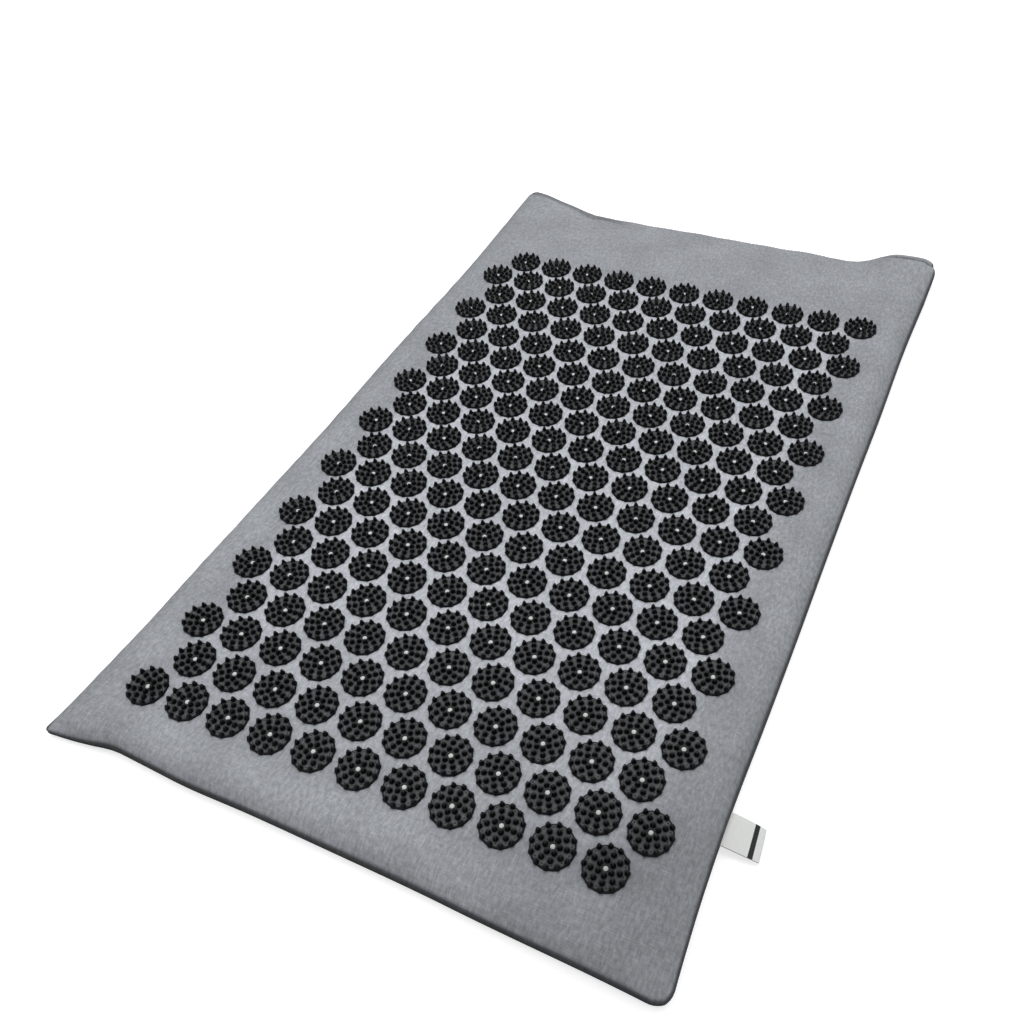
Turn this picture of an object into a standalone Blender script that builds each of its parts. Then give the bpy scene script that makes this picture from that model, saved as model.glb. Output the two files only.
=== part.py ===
"""Acupressure mat: rows of spiked discs on a two-panel cloth cover that zips round a foam slab.

The mat lies flat. X runs across it, +Y points to its plain end and +Z is up. The origin is the
middle of the flat underside's rectangle, on the surface that the mat lies on. Sizes are in metres.
"""

import math

import bmesh
import bpy
from mathutils import Matrix, Vector

# Spiked discs
disc_rows = 20
discs_in_row = 11
disc_radius = 0.013
disc_gap = 0.005
disc_sides = 8
disc_plate = 0.0016
spike_height = 0.0036
spike_ring_inset = 0.0022
crown_root_radius = 0.0072
link_reach = 0.0012

# Foam, cloth and the seam that joins the two panels
foam_thickness = 0.020
foam_side_gap = 0.001
foam_edge_height = 0.001
cloth_thickness = 0.001
seam_allowance = 0.008
fit_gap = 0.0003

# Cloth left round the discs, as flat borders and as the rolls that drop to the seam
side_border = 0.0025
near_border = 0.004
plain_end = 0.064
side_roll = 0.024
near_roll = 0.028
far_roll = 0.030
roll_power = 2.2
roll_line_shares = (0.0, 0.05, 0.16, 0.34, 0.62, 1.0)
under_roll_share = roll_line_shares[4]
zip_line_shares = (0.0, 0.25, 0.5, 0.75, 1.0)
ear_line_shares = (0.33, 0.67)
along_line_shares = (0.04, 0.12, 0.3, 0.5, 0.7, 0.88, 0.96)
foam_roll_shares = (0.0, 0.16, 0.62, 1.0)
foam_line_shares = (0.34, 0.66)

# Corners, which stand out as ears where the edges between them are drawn in
corner_radius = 0.012
side_ear = 0.004
near_ear = 0.004
far_ear = 0.030
far_ear_lift = 0.004
corner_pull_power = 6

# Zip in the far edge
zip_length = 0.250
zip_opening_height = 0.012
zip_lip = 0.001
zip_depth = 0.0032
tape_thickness = 0.0006
coil_width = 0.0025
coil_thickness = 0.0016
coil_bevel = 0.0004
stop_length = 0.0026
slider_length = 0.010
slider_plate = 0.001
slider_flange = 0.0009
slider_bevel = 0.0003
crown_length = 0.006
crown_width = 0.0016
crown_window_length = 0.0038
crown_window_height = 0.0015
crown_bar = 0.0008
pull_length = 0.022
pull_width = 0.005
pull_thickness = 0.0008
pull_eye_length = 0.0039
pull_eye_side_gap = 0.0004
pull_end_gap = 0.002
pull_bevel = 0.00025

# Woven label in the right-hand seam
label_from_near_corner = 0.100
label_width = 0.021
label_length = 0.0215
label_thickness = 0.0012
label_segments = 6

cut_overrun = 0.001
sharp_angle = math.radians(35)

# Places that follow from the sizes above
disc_pitch = 2 * disc_radius + disc_gap
row_spacing = disc_pitch * math.sin(math.radians(60))
field_width = (discs_in_row - 0.5) * disc_pitch + 2 * disc_radius
field_length = (disc_rows - 1) * row_spacing + 2 * disc_radius
flat_half_width = field_width / 2 + side_border
flat_length = near_border + field_length + plain_end
half_width = flat_half_width + side_roll
flat_near_y = -flat_length / 2
flat_far_y = flat_length / 2
near_edge_y = flat_near_y - near_roll
far_edge_y = flat_far_y + far_roll
first_row_y = flat_near_y + near_border + disc_radius
zip_half = zip_length / 2
seam_height = cloth_thickness + zip_lip + zip_opening_height / 2
top_height = 2 * (cloth_thickness + fit_gap) + foam_thickness


def clear_scene():
    for obj in list(bpy.data.objects):
        bpy.data.objects.remove(obj, do_unlink=True)


def new_collection(name):
    collection = bpy.data.collections.new(name)
    bpy.context.scene.collection.children.link(collection)
    return collection


def new_material(name, colour, roughness, metallic=0.0):
    material = bpy.data.materials.new(name)
    material.use_nodes = True
    material.diffuse_color = (*colour, 1.0)
    shader = material.node_tree.nodes["Principled BSDF"]
    shader.inputs["Base Color"].default_value = (*colour, 1.0)
    shader.inputs["Roughness"].default_value = roughness
    shader.inputs["Metallic"].default_value = metallic
    return material


def add_object(name, bm, material, collection, smooth=False):
    """Turns a bmesh into a named object, its faces pointing out."""
    bmesh.ops.recalc_face_normals(bm, faces=bm.faces)
    mesh = bpy.data.meshes.new(name)
    bm.to_mesh(mesh)
    bm.free()
    if smooth:
        mesh.shade_smooth()
        mesh.set_sharp_from_angle(angle=sharp_angle)
    obj = bpy.data.objects.new(name, mesh)
    if material:
        mesh.materials.append(material)
    collection.objects.link(obj)
    return obj


def rise(share):
    """Height of cloth that rolls up from its seam, as a share, at a share of the roll's width."""
    left = 1.0 - min(1.0, share)
    return (1.0 - left**roll_power) ** (1.0 / roll_power)


def smooth_step(share):
    share = min(1.0, max(0.0, share))
    return share * share * (3.0 - 2.0 * share)


def side_pull(y):
    """How far a side stands out at y, from 0 at its middle to 1 at its corners."""
    middle = (near_edge_y + far_edge_y) / 2
    return abs((y - middle) / (far_edge_y - middle)) ** corner_pull_power


def near_pull(x):
    return abs(x / half_width) ** corner_pull_power


def far_pull(x):
    """The far edge is straight along the zip, and swings out to its ears past it."""
    return smooth_step((abs(x) - zip_half) / (half_width - zip_half))


def stations(roll_shares, flat_shares):
    """Grid lines across a panel: (edge, share), with edge -1 or 1 in a roll and 0 on the flat."""
    low = [(-1, share) for share in roll_shares]
    flat = [(0, share) for share in flat_shares]
    high = [(1, share) for share in reversed(roll_shares)]
    return low + flat + high


def lines_along_zip():
    """Shares of the flat width where grid lines run: along the zip, then out to each ear."""
    start = 0.5 - zip_half / (2 * flat_half_width)
    middle = [start + (1.0 - 2 * start) * share for share in zip_line_shares]
    ear = [start * share for share in ear_line_shares]
    return ear + middle + [1.0 - share for share in reversed(ear)]


def roll_share(station):
    edge, share = station
    return share if edge else 1.0


def plain_place(station, low, high, low_roll, high_roll):
    """Where a grid line would lie if no corner stood out."""
    edge, share = station
    if edge == 0:
        return low + (high - low) * share
    if edge < 0:
        return low - low_roll * (1.0 - share)
    return high + high_roll * (1.0 - share)


def round_corner(x, y, edge_x, edge_y, radius):
    """Moves a point of a square corner into a round one of the same reach."""
    gap_x, gap_y = edge_x - abs(x), edge_y - abs(y)
    if radius <= 0.0 or gap_x >= radius or gap_y >= radius:
        return x, y
    s, t = 1.0 - gap_x / radius, 1.0 - gap_y / radius
    shrink = max(s, t) / math.hypot(s, t)
    return (
        math.copysign(edge_x - radius * (1.0 - s * shrink), x),
        math.copysign(edge_y - radius * (1.0 - t * shrink), y),
    )


def panel_point(across, along, inset, ears):
    """(x, y, seam level) of a grid crossing, on an outline drawn in by inset."""
    x = plain_place(across, -flat_half_width, flat_half_width, side_roll, side_roll)
    y = plain_place(along, flat_near_y, flat_far_y, near_roll, far_roll)
    side_out = ears * side_ear * side_pull(y)
    near_out = ears * near_ear * near_pull(x)
    far_out = ears * far_ear * far_pull(x)
    side_reach = side_roll + side_out - inset
    near_reach = near_roll + near_out - inset
    far_reach = far_roll + far_out - inset
    x_out = plain_place(across, -flat_half_width, flat_half_width, side_reach, side_reach)
    y_out = plain_place(along, flat_near_y, flat_far_y, near_reach, far_reach)
    edge_y = flat_far_y + far_reach if along[0] > 0 else -flat_near_y + near_reach
    edge_x = flat_half_width + side_reach
    x_out, y_out = round_corner(x_out, y_out, edge_x, edge_y, corner_radius - inset)
    lift = far_ear_lift * ears * far_pull(x) * (1.0 - roll_share(along)) if along[0] > 0 else 0.0
    return x_out, y_out, seam_height + lift


def add_surface(bm, lines_across, lines_along, inset, ears, edge_offset, flat_height, narrowing):
    """A grid that rolls from the seam, at edge_offset from its level, to flat_height."""
    count_x, count_y = len(lines_across) - 1, len(lines_along) - 1
    made = bmesh.ops.create_grid(bm, x_segments=count_x, y_segments=count_y, size=1.0)
    for vertex in made["verts"]:
        across = lines_across[round((vertex.co.x + 1.0) / 2.0 * count_x)]
        along = lines_along[round((vertex.co.y + 1.0) / 2.0 * count_y)]
        x, y, level = panel_point(across, along, inset, ears)
        height = rise(roll_share(across) / narrowing) * rise(roll_share(along) / narrowing)
        low = level + edge_offset
        vertex.co = (x, y, low + (flat_height - low) * height)
    return made["verts"]


def bridge_surfaces(bm):
    rims = [edge for edge in bm.edges if edge.is_boundary]
    bmesh.ops.bridge_loops(bm, edges=rims)


def cover_panel(name, lines, edge_offset, outer_height, inner_height, narrowing, look, collection):
    """A cloth panel: its outer surface, its inner one, and the seam allowance between them."""
    bm = bmesh.new()
    add_surface(bm, *lines, 0.0, 1.0, edge_offset, outer_height, narrowing)
    add_surface(bm, *lines, seam_allowance, 1.0, edge_offset, inner_height, narrowing)
    bridge_surfaces(bm)
    return add_object(name, bm, look, collection, smooth=True)


def foam_slab(lines, look, collection):
    inset = seam_allowance + foam_side_gap
    skin = cloth_thickness + fit_gap
    blunt = foam_edge_height / 2
    bm = bmesh.new()
    add_surface(bm, *lines, inset, 0.0, blunt, top_height - skin, 1.0)
    add_surface(bm, *lines, inset, 0.0, -blunt, skin, under_roll_share)
    bridge_surfaces(bm)
    return add_object("foam_core", bm, look, collection, smooth=True)


def add_disc(bm, x, neighbours):
    """A spiked disc at x with its underside at z 0. Returns the faces that links start from."""
    known = set(bm.faces)
    bmesh.ops.create_cone(
        bm,
        cap_ends=True,
        segments=disc_sides,
        radius1=disc_radius,
        radius2=crown_root_radius,
        depth=disc_plate,
        matrix=Matrix.Translation((x, 0.0, disc_plate / 2)),
    )
    link_faces = []
    for side in neighbours:
        own = [v for v in bm.verts if v.link_faces and v.link_faces[0] not in known]
        rim = max(own, key=lambda v: (v.co.x - x) * side)
        cut = bmesh.ops.bevel(
            bm, geom=[rim], offset=link_reach, offset_type="OFFSET", segments=1, affect="VERTICES"
        )
        link_faces.append(cut["faces"][0])
    bm.normal_update()
    plates = [face for face in bm.faces if face not in known and face not in link_faces]
    raised = [face for face in plates if face.calc_center_median().z > 0.0]
    sector = 2 * math.pi / disc_sides
    for tip in bmesh.ops.poke(bm, faces=raised)["verts"]:
        out = Vector((tip.co.x - x, tip.co.y))
        radius = disc_radius - spike_ring_inset if out.length > crown_root_radius / 2 else 0.0
        angle = (math.floor(math.atan2(out.y, out.x) / sector) + 0.5) * sector
        tip.co.x = x + radius * math.cos(angle)
        tip.co.y = radius * math.sin(angle)
        tip.co.z = disc_plate + spike_height
    return link_faces


def disc_row(number, look, collection):
    """One row of discs. Thin links on the cloth join its discs into one body."""
    bm = bmesh.new()
    start = -(discs_in_row - 0.5) * disc_pitch / 2 + (number % 2) * disc_pitch / 2
    waiting = None
    for column in range(discs_in_row):
        neighbours = [side for side in (-1, 1) if 0 <= column + side < discs_in_row]
        faces = add_disc(bm, start + column * disc_pitch, neighbours)
        if waiting:
            edges = list(waiting.edges) + list(faces[0].edges)
            bmesh.ops.delete(bm, geom=[waiting, faces[0]], context="FACES_ONLY")
            bmesh.ops.bridge_loops(bm, edges=edges)
        waiting = faces[-1]
    row = add_object(f"disc_row_{number + 1:02d}", bm, look, collection)
    row.location = (0.0, first_row_y + number * row_spacing, top_height + fit_gap)
    return row


def add_box(name, low, high, look, collection, bevel=0.0):
    """A box between two corners, its object at its middle."""
    low, high = Vector(low), Vector(high)
    bm = bmesh.new()
    bmesh.ops.create_cube(bm, size=1.0, matrix=Matrix.Diagonal((*(high - low), 1.0)))
    obj = add_object(name, bm, look, collection)
    obj.location = (low + high) / 2
    if bevel:
        edges = obj.modifiers.new("edges", "BEVEL")
        edges.width = bevel
        edges.segments = 1
    return obj


def add_cutter(name, low, high, collection):
    cutter = add_box(name, low, high, None, collection)
    cutter.hide_render = True
    cutter.display_type = "WIRE"
    return cutter


def combine(obj, other, operation):
    step = obj.modifiers.new(other.name, "BOOLEAN")
    step.operation = operation
    step.solver = "EXACT"
    step.object = other


def zip_parts(looks, parts, cutters):
    """Tapes, coils, stops, slider and pull, seen from outside the far edge as a stack along Y.

    The tapes run on past the stops, so that the pull can lie flat either way over their tails.
    """
    tape_back = far_edge_y - zip_depth
    tape_front = tape_back + tape_thickness
    coil_back = tape_front + fit_gap
    coil_front = coil_back + coil_thickness
    plate_back = coil_front + fit_gap
    plate_front = plate_back + slider_plate
    half_gap = fit_gap / 2
    bar_half = pull_thickness / 2
    tape_half = zip_half - fit_gap
    slider_x = tape_half - (pull_length - bar_half) - pull_end_gap
    stop_start = slider_x + slider_length / 2 + fit_gap
    stop_end = stop_start + stop_length
    coil_half = stop_start - fit_gap
    tape_reach = zip_opening_height / 2 - fit_gap
    coil_reach = half_gap + coil_width
    for name, side in (("top", 1), ("bottom", -1)):
        near_z, tape_z, coil_z = (seam_height + side * d for d in (half_gap, tape_reach, coil_reach))
        low_z, high_z = sorted((near_z, tape_z))
        add_box(
            f"zip_tape_{name}",
            (-tape_half, tape_back, low_z),
            (tape_half, tape_front, high_z),
            looks["tape"],
            parts,
        )
        low_z, high_z = sorted((near_z, coil_z))
        add_box(
            f"zip_coil_{name}",
            (-coil_half, coil_back, low_z),
            (coil_half, coil_front, high_z),
            looks["coil"],
            parts,
            coil_bevel,
        )
    for name, side in (("left", -1), ("right", 1)):
        low_x, high_x = sorted((side * stop_start, side * stop_end))
        add_box(
            f"zip_stop_{name}",
            (low_x, coil_back, seam_height - coil_reach),
            (high_x, coil_front, seam_height + coil_reach),
            looks["metal"],
            parts,
            coil_bevel,
        )
    channel_half = coil_reach + fit_gap
    body_half = channel_half + slider_flange
    slider = add_box(
        "zip_slider",
        (slider_x - slider_length / 2, coil_back, seam_height - body_half),
        (slider_x + slider_length / 2, plate_front, seam_height + body_half),
        looks["metal"],
        parts,
        slider_bevel,
    )
    channel = add_cutter(
        "slider_channel",
        (slider_x - slider_length / 2 - cut_overrun, coil_back - cut_overrun, seam_height - channel_half),
        (slider_x + slider_length / 2 + cut_overrun, plate_back, seam_height + channel_half),
        cutters,
    )
    combine(slider, channel, "DIFFERENCE")
    crown_top = plate_front + crown_window_height + crown_bar
    crown = add_cutter(
        "slider_crown",
        (slider_x - crown_length / 2, plate_front - slider_plate / 2, seam_height - crown_width / 2),
        (slider_x + crown_length / 2, crown_top, seam_height + crown_width / 2),
        cutters,
    )
    combine(slider, crown, "UNION")
    window_half = crown_window_length / 2
    window_reach = crown_width / 2 + cut_overrun
    window = add_cutter(
        "crown_window",
        (slider_x - window_half, plate_front, seam_height - window_reach),
        (slider_x + window_half, plate_front + crown_window_height, seam_height + window_reach),
        cutters,
    )
    combine(slider, window, "DIFFERENCE")
    hinge = bpy.data.objects.new("pull_hinge", None)
    hinge.location = (slider_x, plate_front + crown_window_height / 2, seam_height)
    parts.objects.link(hinge)
    pull = add_box(
        "zip_pull",
        (bar_half - pull_length, -bar_half, -pull_width / 2),
        (bar_half, bar_half, pull_width / 2),
        looks["metal"],
        parts,
        pull_bevel,
    )
    eye_half = crown_width / 2 + pull_eye_side_gap
    eye = add_cutter(
        "pull_eye",
        (-bar_half - pull_eye_length, -bar_half - cut_overrun, -eye_half),
        (-bar_half, bar_half + cut_overrun, eye_half),
        cutters,
    )
    combine(pull, eye, "DIFFERENCE")
    pull.parent = hinge
    eye.parent = hinge


def zip_slot(covers, cutters):
    """Parts both panels along the zip, through their seam allowance."""
    depth = seam_allowance + zip_opening_height / 2
    slot = add_cutter(
        "zip_slot",
        (-zip_half, far_edge_y - depth, seam_height - zip_opening_height / 2),
        (zip_half, far_edge_y + cut_overrun, seam_height + zip_opening_height / 2),
        cutters,
    )
    for cover in covers:
        combine(cover, slot, "DIFFERENCE")


def side_edge_at(y, lines_along):
    """X of the right-hand seam at y, on the straight runs between the cover's grid lines."""
    rim = (1, 0.0)
    points = [panel_point(rim, along, 0.0, 1.0)[:2] for along in lines_along]
    for (x0, y0), (x1, y1) in zip(points, points[1:]):
        if y0 <= y <= y1:
            return x0 + (x1 - x0) * (y - y0) / (y1 - y0)
    return half_width


def side_label(lines_along, look, collection):
    """A folded label that leaves the seam and droops to the surface that the mat lies on."""
    centre_y = near_edge_y - near_ear + label_from_near_corner
    ends = (centre_y - label_width / 2, centre_y + label_width / 2)
    root_x = max(side_edge_at(y, lines_along) for y in ends) + fit_gap
    tip_height = label_thickness / 2 + fit_gap
    bm = bmesh.new()
    made = bmesh.ops.create_grid(bm, x_segments=label_segments, y_segments=1, size=1.0)
    for vertex in made["verts"]:
        share = (vertex.co.x + 1.0) / 2.0
        x = root_x + label_length * share
        y = centre_y + vertex.co.y * label_width / 2
        vertex.co = (x, y, seam_height + (tip_height - seam_height) * smooth_step(share))
    label = add_object("side_label", bm, look, collection)
    wall = label.modifiers.new("two layers", "SOLIDIFY")
    wall.thickness = label_thickness
    wall.offset = 0.0
    return label


def main():
    clear_scene()
    parts = new_collection("acupressure_mat")
    cutters = new_collection("cutters")
    looks = {
        "cloth": new_material("grey_cloth", (0.31, 0.32, 0.34), 0.9),
        "foam": new_material("foam", (0.75, 0.74, 0.70), 0.95),
        "disc": new_material("black_plastic", (0.012, 0.013, 0.016), 0.45),
        "tape": new_material("zip_tape", (0.20, 0.205, 0.22), 0.8),
        "coil": new_material("zip_coil", (0.15, 0.155, 0.17), 0.5),
        "metal": new_material("zip_metal", (0.45, 0.45, 0.46), 0.35, 1.0),
        "label": new_material("woven_label", (0.75, 0.75, 0.72), 0.85),
    }
    lines_across = stations(roll_line_shares, lines_along_zip())
    lines_along = stations(roll_line_shares, along_line_shares)
    lines = (lines_across, lines_along)
    half_gap = fit_gap / 2
    top = cover_panel(
        "cover_top", lines, half_gap, top_height, top_height - cloth_thickness, 1.0, looks["cloth"], parts
    )
    under = cover_panel(
        "cover_bottom", lines, -half_gap, 0.0, cloth_thickness, under_roll_share, looks["cloth"], parts
    )
    zip_slot((top, under), cutters)
    foam_lines = stations(foam_roll_shares, foam_line_shares)
    foam_slab((foam_lines, foam_lines), looks["foam"], parts)
    for number in range(disc_rows):
        disc_row(number, looks["disc"], parts)
    zip_parts(looks, parts, cutters)
    side_label(lines_along, looks["label"], parts)


main()
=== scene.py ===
# %% [markdown]
# # Acupressure mat
#
# The real mat is a slab of foam in a zipped cover of grey linen-look cloth. Its upper side carries 220 spiked
# discs of black plastic, stuck on in staggered rows. A plain strip is left at the far end, a folded ribbon hangs
# from the right-hand seam, and the zip is in the far edge.
#
# The solids are coarse: few faces to a curve, and eight spikes to a disc. So they are loaded as a fixed frame that
# gives every place and size, and finer pieces are fitted to it.

# %% The frame
import math

import bpy
import numpy as np
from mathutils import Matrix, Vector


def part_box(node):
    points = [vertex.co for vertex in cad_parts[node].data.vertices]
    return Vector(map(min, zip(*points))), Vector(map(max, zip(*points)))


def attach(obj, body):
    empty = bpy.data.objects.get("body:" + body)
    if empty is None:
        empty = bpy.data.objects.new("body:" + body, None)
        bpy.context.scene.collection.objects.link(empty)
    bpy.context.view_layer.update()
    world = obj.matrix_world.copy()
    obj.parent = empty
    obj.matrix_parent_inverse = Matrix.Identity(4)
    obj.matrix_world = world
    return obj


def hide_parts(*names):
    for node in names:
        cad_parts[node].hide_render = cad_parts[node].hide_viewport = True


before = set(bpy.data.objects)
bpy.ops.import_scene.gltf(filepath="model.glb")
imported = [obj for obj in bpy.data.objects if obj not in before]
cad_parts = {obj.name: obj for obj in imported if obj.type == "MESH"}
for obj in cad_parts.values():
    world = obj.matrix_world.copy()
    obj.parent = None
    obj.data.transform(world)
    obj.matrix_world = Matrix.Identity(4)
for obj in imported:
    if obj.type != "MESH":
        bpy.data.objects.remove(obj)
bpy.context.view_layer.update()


def node_box(name):
    """Lowest and highest corner of one of the frame's solids, in metres."""
    return [np.array(list(corner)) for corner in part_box(name)]


# %% [markdown]
# ## Camera
#
# A camera can be aimed by eye, or solved from things of known spacing. The discs lie on an even lattice, so one
# projection fits all 220 of them, and gives the place, the three turns and the lens. The picture was cropped
# off-centre, which a small sideways shift of the frame repeats.

# %% Camera
camera_turns_degrees = (43.767, 2.896, 23.572)
camera_data = bpy.data.cameras.new("camera")
camera_data.lens = 35.72
camera_data.sensor_width = 36.0
camera_data.shift_x = -0.0733
camera = bpy.data.objects.new("camera", camera_data)
camera.location = (0.25885, -0.49711, 0.54384)
camera.rotation_euler = [math.radians(turn) for turn in camera_turns_degrees]
bpy.context.scene.collection.objects.link(camera)
bpy.context.scene.camera = camera
print("camera height over the floor:", round(camera.location[2], 3))

# %% [markdown]
# ## Node helpers
#
# Materials here are worked out by nodes, so that they are sharp at any distance. Adding and linking each node by
# hand takes several lines, which hides the idea. So a node's output is wrapped in a small class: arithmetic on it
# adds Math nodes, and a formula in nodes reads like any other formula.

# %% Node helpers
class Flow:
    """A node's output. Arithmetic on it adds Math nodes, and flow[name] is another output of the same node."""

    def __init__(self, tree, socket):
        self.tree, self.socket = tree, socket

    def __getitem__(self, key):
        return Flow(self.tree, self.socket.node.outputs[key])

    def math(self, operation, *others):
        return add_node(self.tree, "Math", dict(enumerate((self, *others))), operation=operation)

    def __add__(self, other):
        return self.math("ADD", other)

    def __sub__(self, other):
        return self.math("SUBTRACT", other)

    def __mul__(self, other):
        return self.math("MULTIPLY", other)

    def __truediv__(self, other):
        return self.math("DIVIDE", other)

    def spread(self, from_low, from_high, to_low=0.0, to_high=1.0):
        """Maps a range of values to another range, and holds it at the ends."""
        keys = ("Value", "From Min", "From Max", "To Min", "To Max")
        return add_node(self.tree, "MapRange", dict(zip(keys, (self, from_low, from_high, to_low, to_high))))


def put(tree, inputs, node):
    """Fills a node's inputs, given by name or number, with flows or plain values."""
    for key, value in inputs.items():
        if isinstance(value, Flow):
            tree.links.new(value.socket, node.inputs[key])
        else:
            node.inputs[key].default_value = value


def add_node(tree, kind, inputs=None, out=0, **settings):
    """Adds a shader node of this kind, fills its inputs and gives its output out as a flow."""
    node = tree.nodes.new("ShaderNode" + kind)
    for name, value in settings.items():
        setattr(node, name, value)
    put(tree, inputs or {}, node)
    return Flow(tree, node.outputs[out])


def mix(share, first, second):
    """A colour between two, by a share from 0 to 1. Each is a flow or (red, green, blue)."""
    first, second = (value if isinstance(value, Flow) else (*value, 1.0) for value in (first, second))
    return add_node(share.tree, "Mix", {0: share, 6: first, 7: second}, 2, data_type="RGBA")


def noise(place, scale, detail):
    return add_node(place.tree, "TexNoise", {"Vector": place, "Scale": scale, "Detail": detail})


def new_material(name):
    material = bpy.data.materials.new(name)
    material.use_nodes = True
    return material, material.node_tree


def feed_shader(tree, colour, roughness, height, depth, strength, specular=0.5, metallic=0.0, sheen=0.0):
    """Feeds the material's shader. The height goes through a Bump node, as relief of this depth in metres."""
    bump = add_node(tree, "Bump", {"Height": height, "Distance": depth, "Strength": strength})
    inputs = {"Base Color": colour, "Roughness": roughness, "Normal": bump}
    inputs |= {"Specular IOR Level": specular, "Metallic": metallic, "Sheen Weight": sheen}
    put(tree, inputs, tree.nodes["Principled BSDF"])


print("node helpers are ready")

# %% [markdown]
# ## Floor and light
#
# The mat was photographed from above on white, in soft light from overhead. Lamps strong enough to make the floor
# white would bleach the mat too. So they stay at a level at which a colour renders about as it is written, and the
# floor and the sky are only brighter for rays that come from the camera, a gloss or a glass. For the light that it
# throws back under the mat, the floor is darker, because the mat's underside is a black line in the photograph.
#
# The sky is brighter towards the right, which keeps the right-hand roll of the edge from going black. A small card,
# which no camera or gloss sees, hangs over the near right corner, which is in soft shade.

# %% Floor and light
floor_reach = 6.0
floor_seen_colour = (0.62, 0.62, 0.63)
floor_lighting_colour = (0.06, 0.06, 0.06)
floor_white_boost = 0.66
sky_level = 0.43
sky_right_level = 0.55
sky_full_elevation = 0.6
lamp_place = (-0.30, 0.35, 2.9)
lamp_target = (0.0, -0.02, 0.0)
lamp_width = 2.8
lamp_level = 0.73
card_place = (0.163, -0.292, 0.15)
card_width = 0.090
white = (1.0, 1.0, 1.0, 1.0)


def seen_ray(tree):
    """1 for rays from the camera, a gloss or a glass, and 0 for rays that light other surfaces."""
    path = add_node(tree, "LightPath")
    seen = path["Is Camera Ray"].math("MAXIMUM", path["Is Glossy Ray"])
    return seen.math("MAXIMUM", path["Is Transmission Ray"])


def stage_square(name, half, place=(0.0, 0.0, 0.0)):
    """A level square that is no part of the mat."""
    mesh = bpy.data.meshes.new(name)
    corners = [(x * half, y * half, 0.0) for x, y in ((-1, -1), (1, -1), (1, 1), (-1, 1))]
    mesh.from_pydata(corners, [], [(0, 1, 2, 3)])
    square = bpy.data.objects.new(name, mesh)
    square.location = place
    bpy.context.scene.collection.objects.link(square)
    return square


def make_floor():
    material, tree = new_material("white_floor")
    seen = seen_ray(tree)
    inputs = {"Base Color": mix(seen, floor_lighting_colour, floor_seen_colour), "Roughness": 0.9}
    inputs |= {"Specular IOR Level": 0.0, "Emission Color": white, "Emission Strength": seen * floor_white_boost}
    put(tree, inputs, tree.nodes["Principled BSDF"])
    stage_square("floor", floor_reach).data.materials.append(material)


def make_sky():
    world = bpy.data.worlds.new("studio")
    world.use_nodes = True
    tree = world.node_tree
    direction = add_node(tree, "SeparateXYZ", {0: add_node(tree, "TexCoord", out="Generated")})
    lighting = direction[2].spread(0.0, sky_full_elevation, 0.0, sky_level)
    lighting += direction[0].spread(0.0, 1.0, 0.0, sky_right_level)
    seen = seen_ray(tree)
    level = seen + seen.spread(0.0, 1.0, 1.0, 0.0) * lighting
    put(tree, {"Color": white, "Strength": level}, tree.nodes["Background"])
    bpy.context.scene.world = world


def make_softbox():
    """A square lamp. Its power makes a white surface at the target render at lamp_level."""
    lamp = bpy.data.lights.new("softbox", "AREA")
    lamp.size = lamp_width
    aim = np.array(lamp_place) - np.array(lamp_target)
    distance = np.linalg.norm(aim)
    lamp.energy = lamp_level * (math.pi * distance) ** 2 / (aim[2] / distance)
    softbox = bpy.data.objects.new("softbox", lamp)
    softbox.location = lamp_place
    softbox.rotation_euler = (math.acos(aim[2] / distance), 0.0, math.atan2(aim[1], aim[0]) + math.pi / 2)
    bpy.context.scene.collection.objects.link(softbox)
    print("softbox power in watts:", round(lamp.energy, 1))


make_floor()
make_sky()
make_softbox()
card = stage_square("shading_card", card_width / 2, card_place)
card.visible_camera = card.visible_glossy = False
bpy.context.scene.view_settings.view_transform = "Standard"

# %% [markdown]
# ## Mesh helpers
#
# Every new piece is a surface over a grid of two parameters, or a profile carried along a path. Numpy works out
# all its points at once, which is fast and keeps the shape in one formula. The helpers below number the faces of
# such a grid and hand the arrays to Blender, with a UV map in metres where a weave has to follow the cloth.

# %% Mesh helpers
def grid_quads(rows, columns, wrap_rows=False, wrap_columns=False):
    """Faces of a grid whose point (i, j) has number i * columns + j. Wrapping joins the last line to the first."""
    i = np.arange(rows if wrap_rows else rows - 1)[:, None]
    j = np.arange(columns if wrap_columns else columns - 1)[None, :]
    next_i, next_j = (i + 1) % rows, (j + 1) % columns
    corners = (i * columns + j, i * columns + next_j, next_i * columns + next_j, next_i * columns + j)
    return together(*corners).reshape(-1, 4)


def together(*values):
    """Joins x, y, z (or u, v) arrays of any matching shapes into one array of points."""
    return np.stack(np.broadcast_arrays(*values), axis=-1)


def copies(points, faces, count):
    """Face numbers for a shape repeated count times, whose points follow one another."""
    step = len(points) * np.arange(count)[:, None, None]
    return (faces[None, :, :] + step).reshape(-1, faces.shape[1])


def unit(vectors):
    return vectors / np.linalg.norm(vectors, axis=-1, keepdims=True)


def way_along(path):
    """Distance of each point of a path from its first point, along the path."""
    return np.concatenate([[0.0], np.cumsum(np.linalg.norm(np.diff(path, axis=0), axis=1))])


def strip_faces(sections, count):
    """Faces of a closed loop of count points carried through sections, with both ends closed.

    The loop goes out along one side of a strip and back along the other, so an end is closed by quads across it.
    """
    k = np.arange(count // 2 - 1)
    end = np.stack([k, k + 1, count - 2 - k, count - 1 - k], axis=-1)
    sides = grid_quads(sections, count, wrap_columns=True)
    return np.concatenate([sides, end, (end + (sections - 1) * count)[:, ::-1]])


def rim_numbers(rows, columns):
    """Numbers of a grid's rim points in order, anticlockwise from the first."""
    right = np.arange(1, rows) * columns + columns - 1
    back = (rows - 1) * columns + np.arange(columns - 1)[::-1]
    return np.concatenate([np.arange(columns), right, back, np.arange(1, rows - 1)[::-1] * columns])


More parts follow.
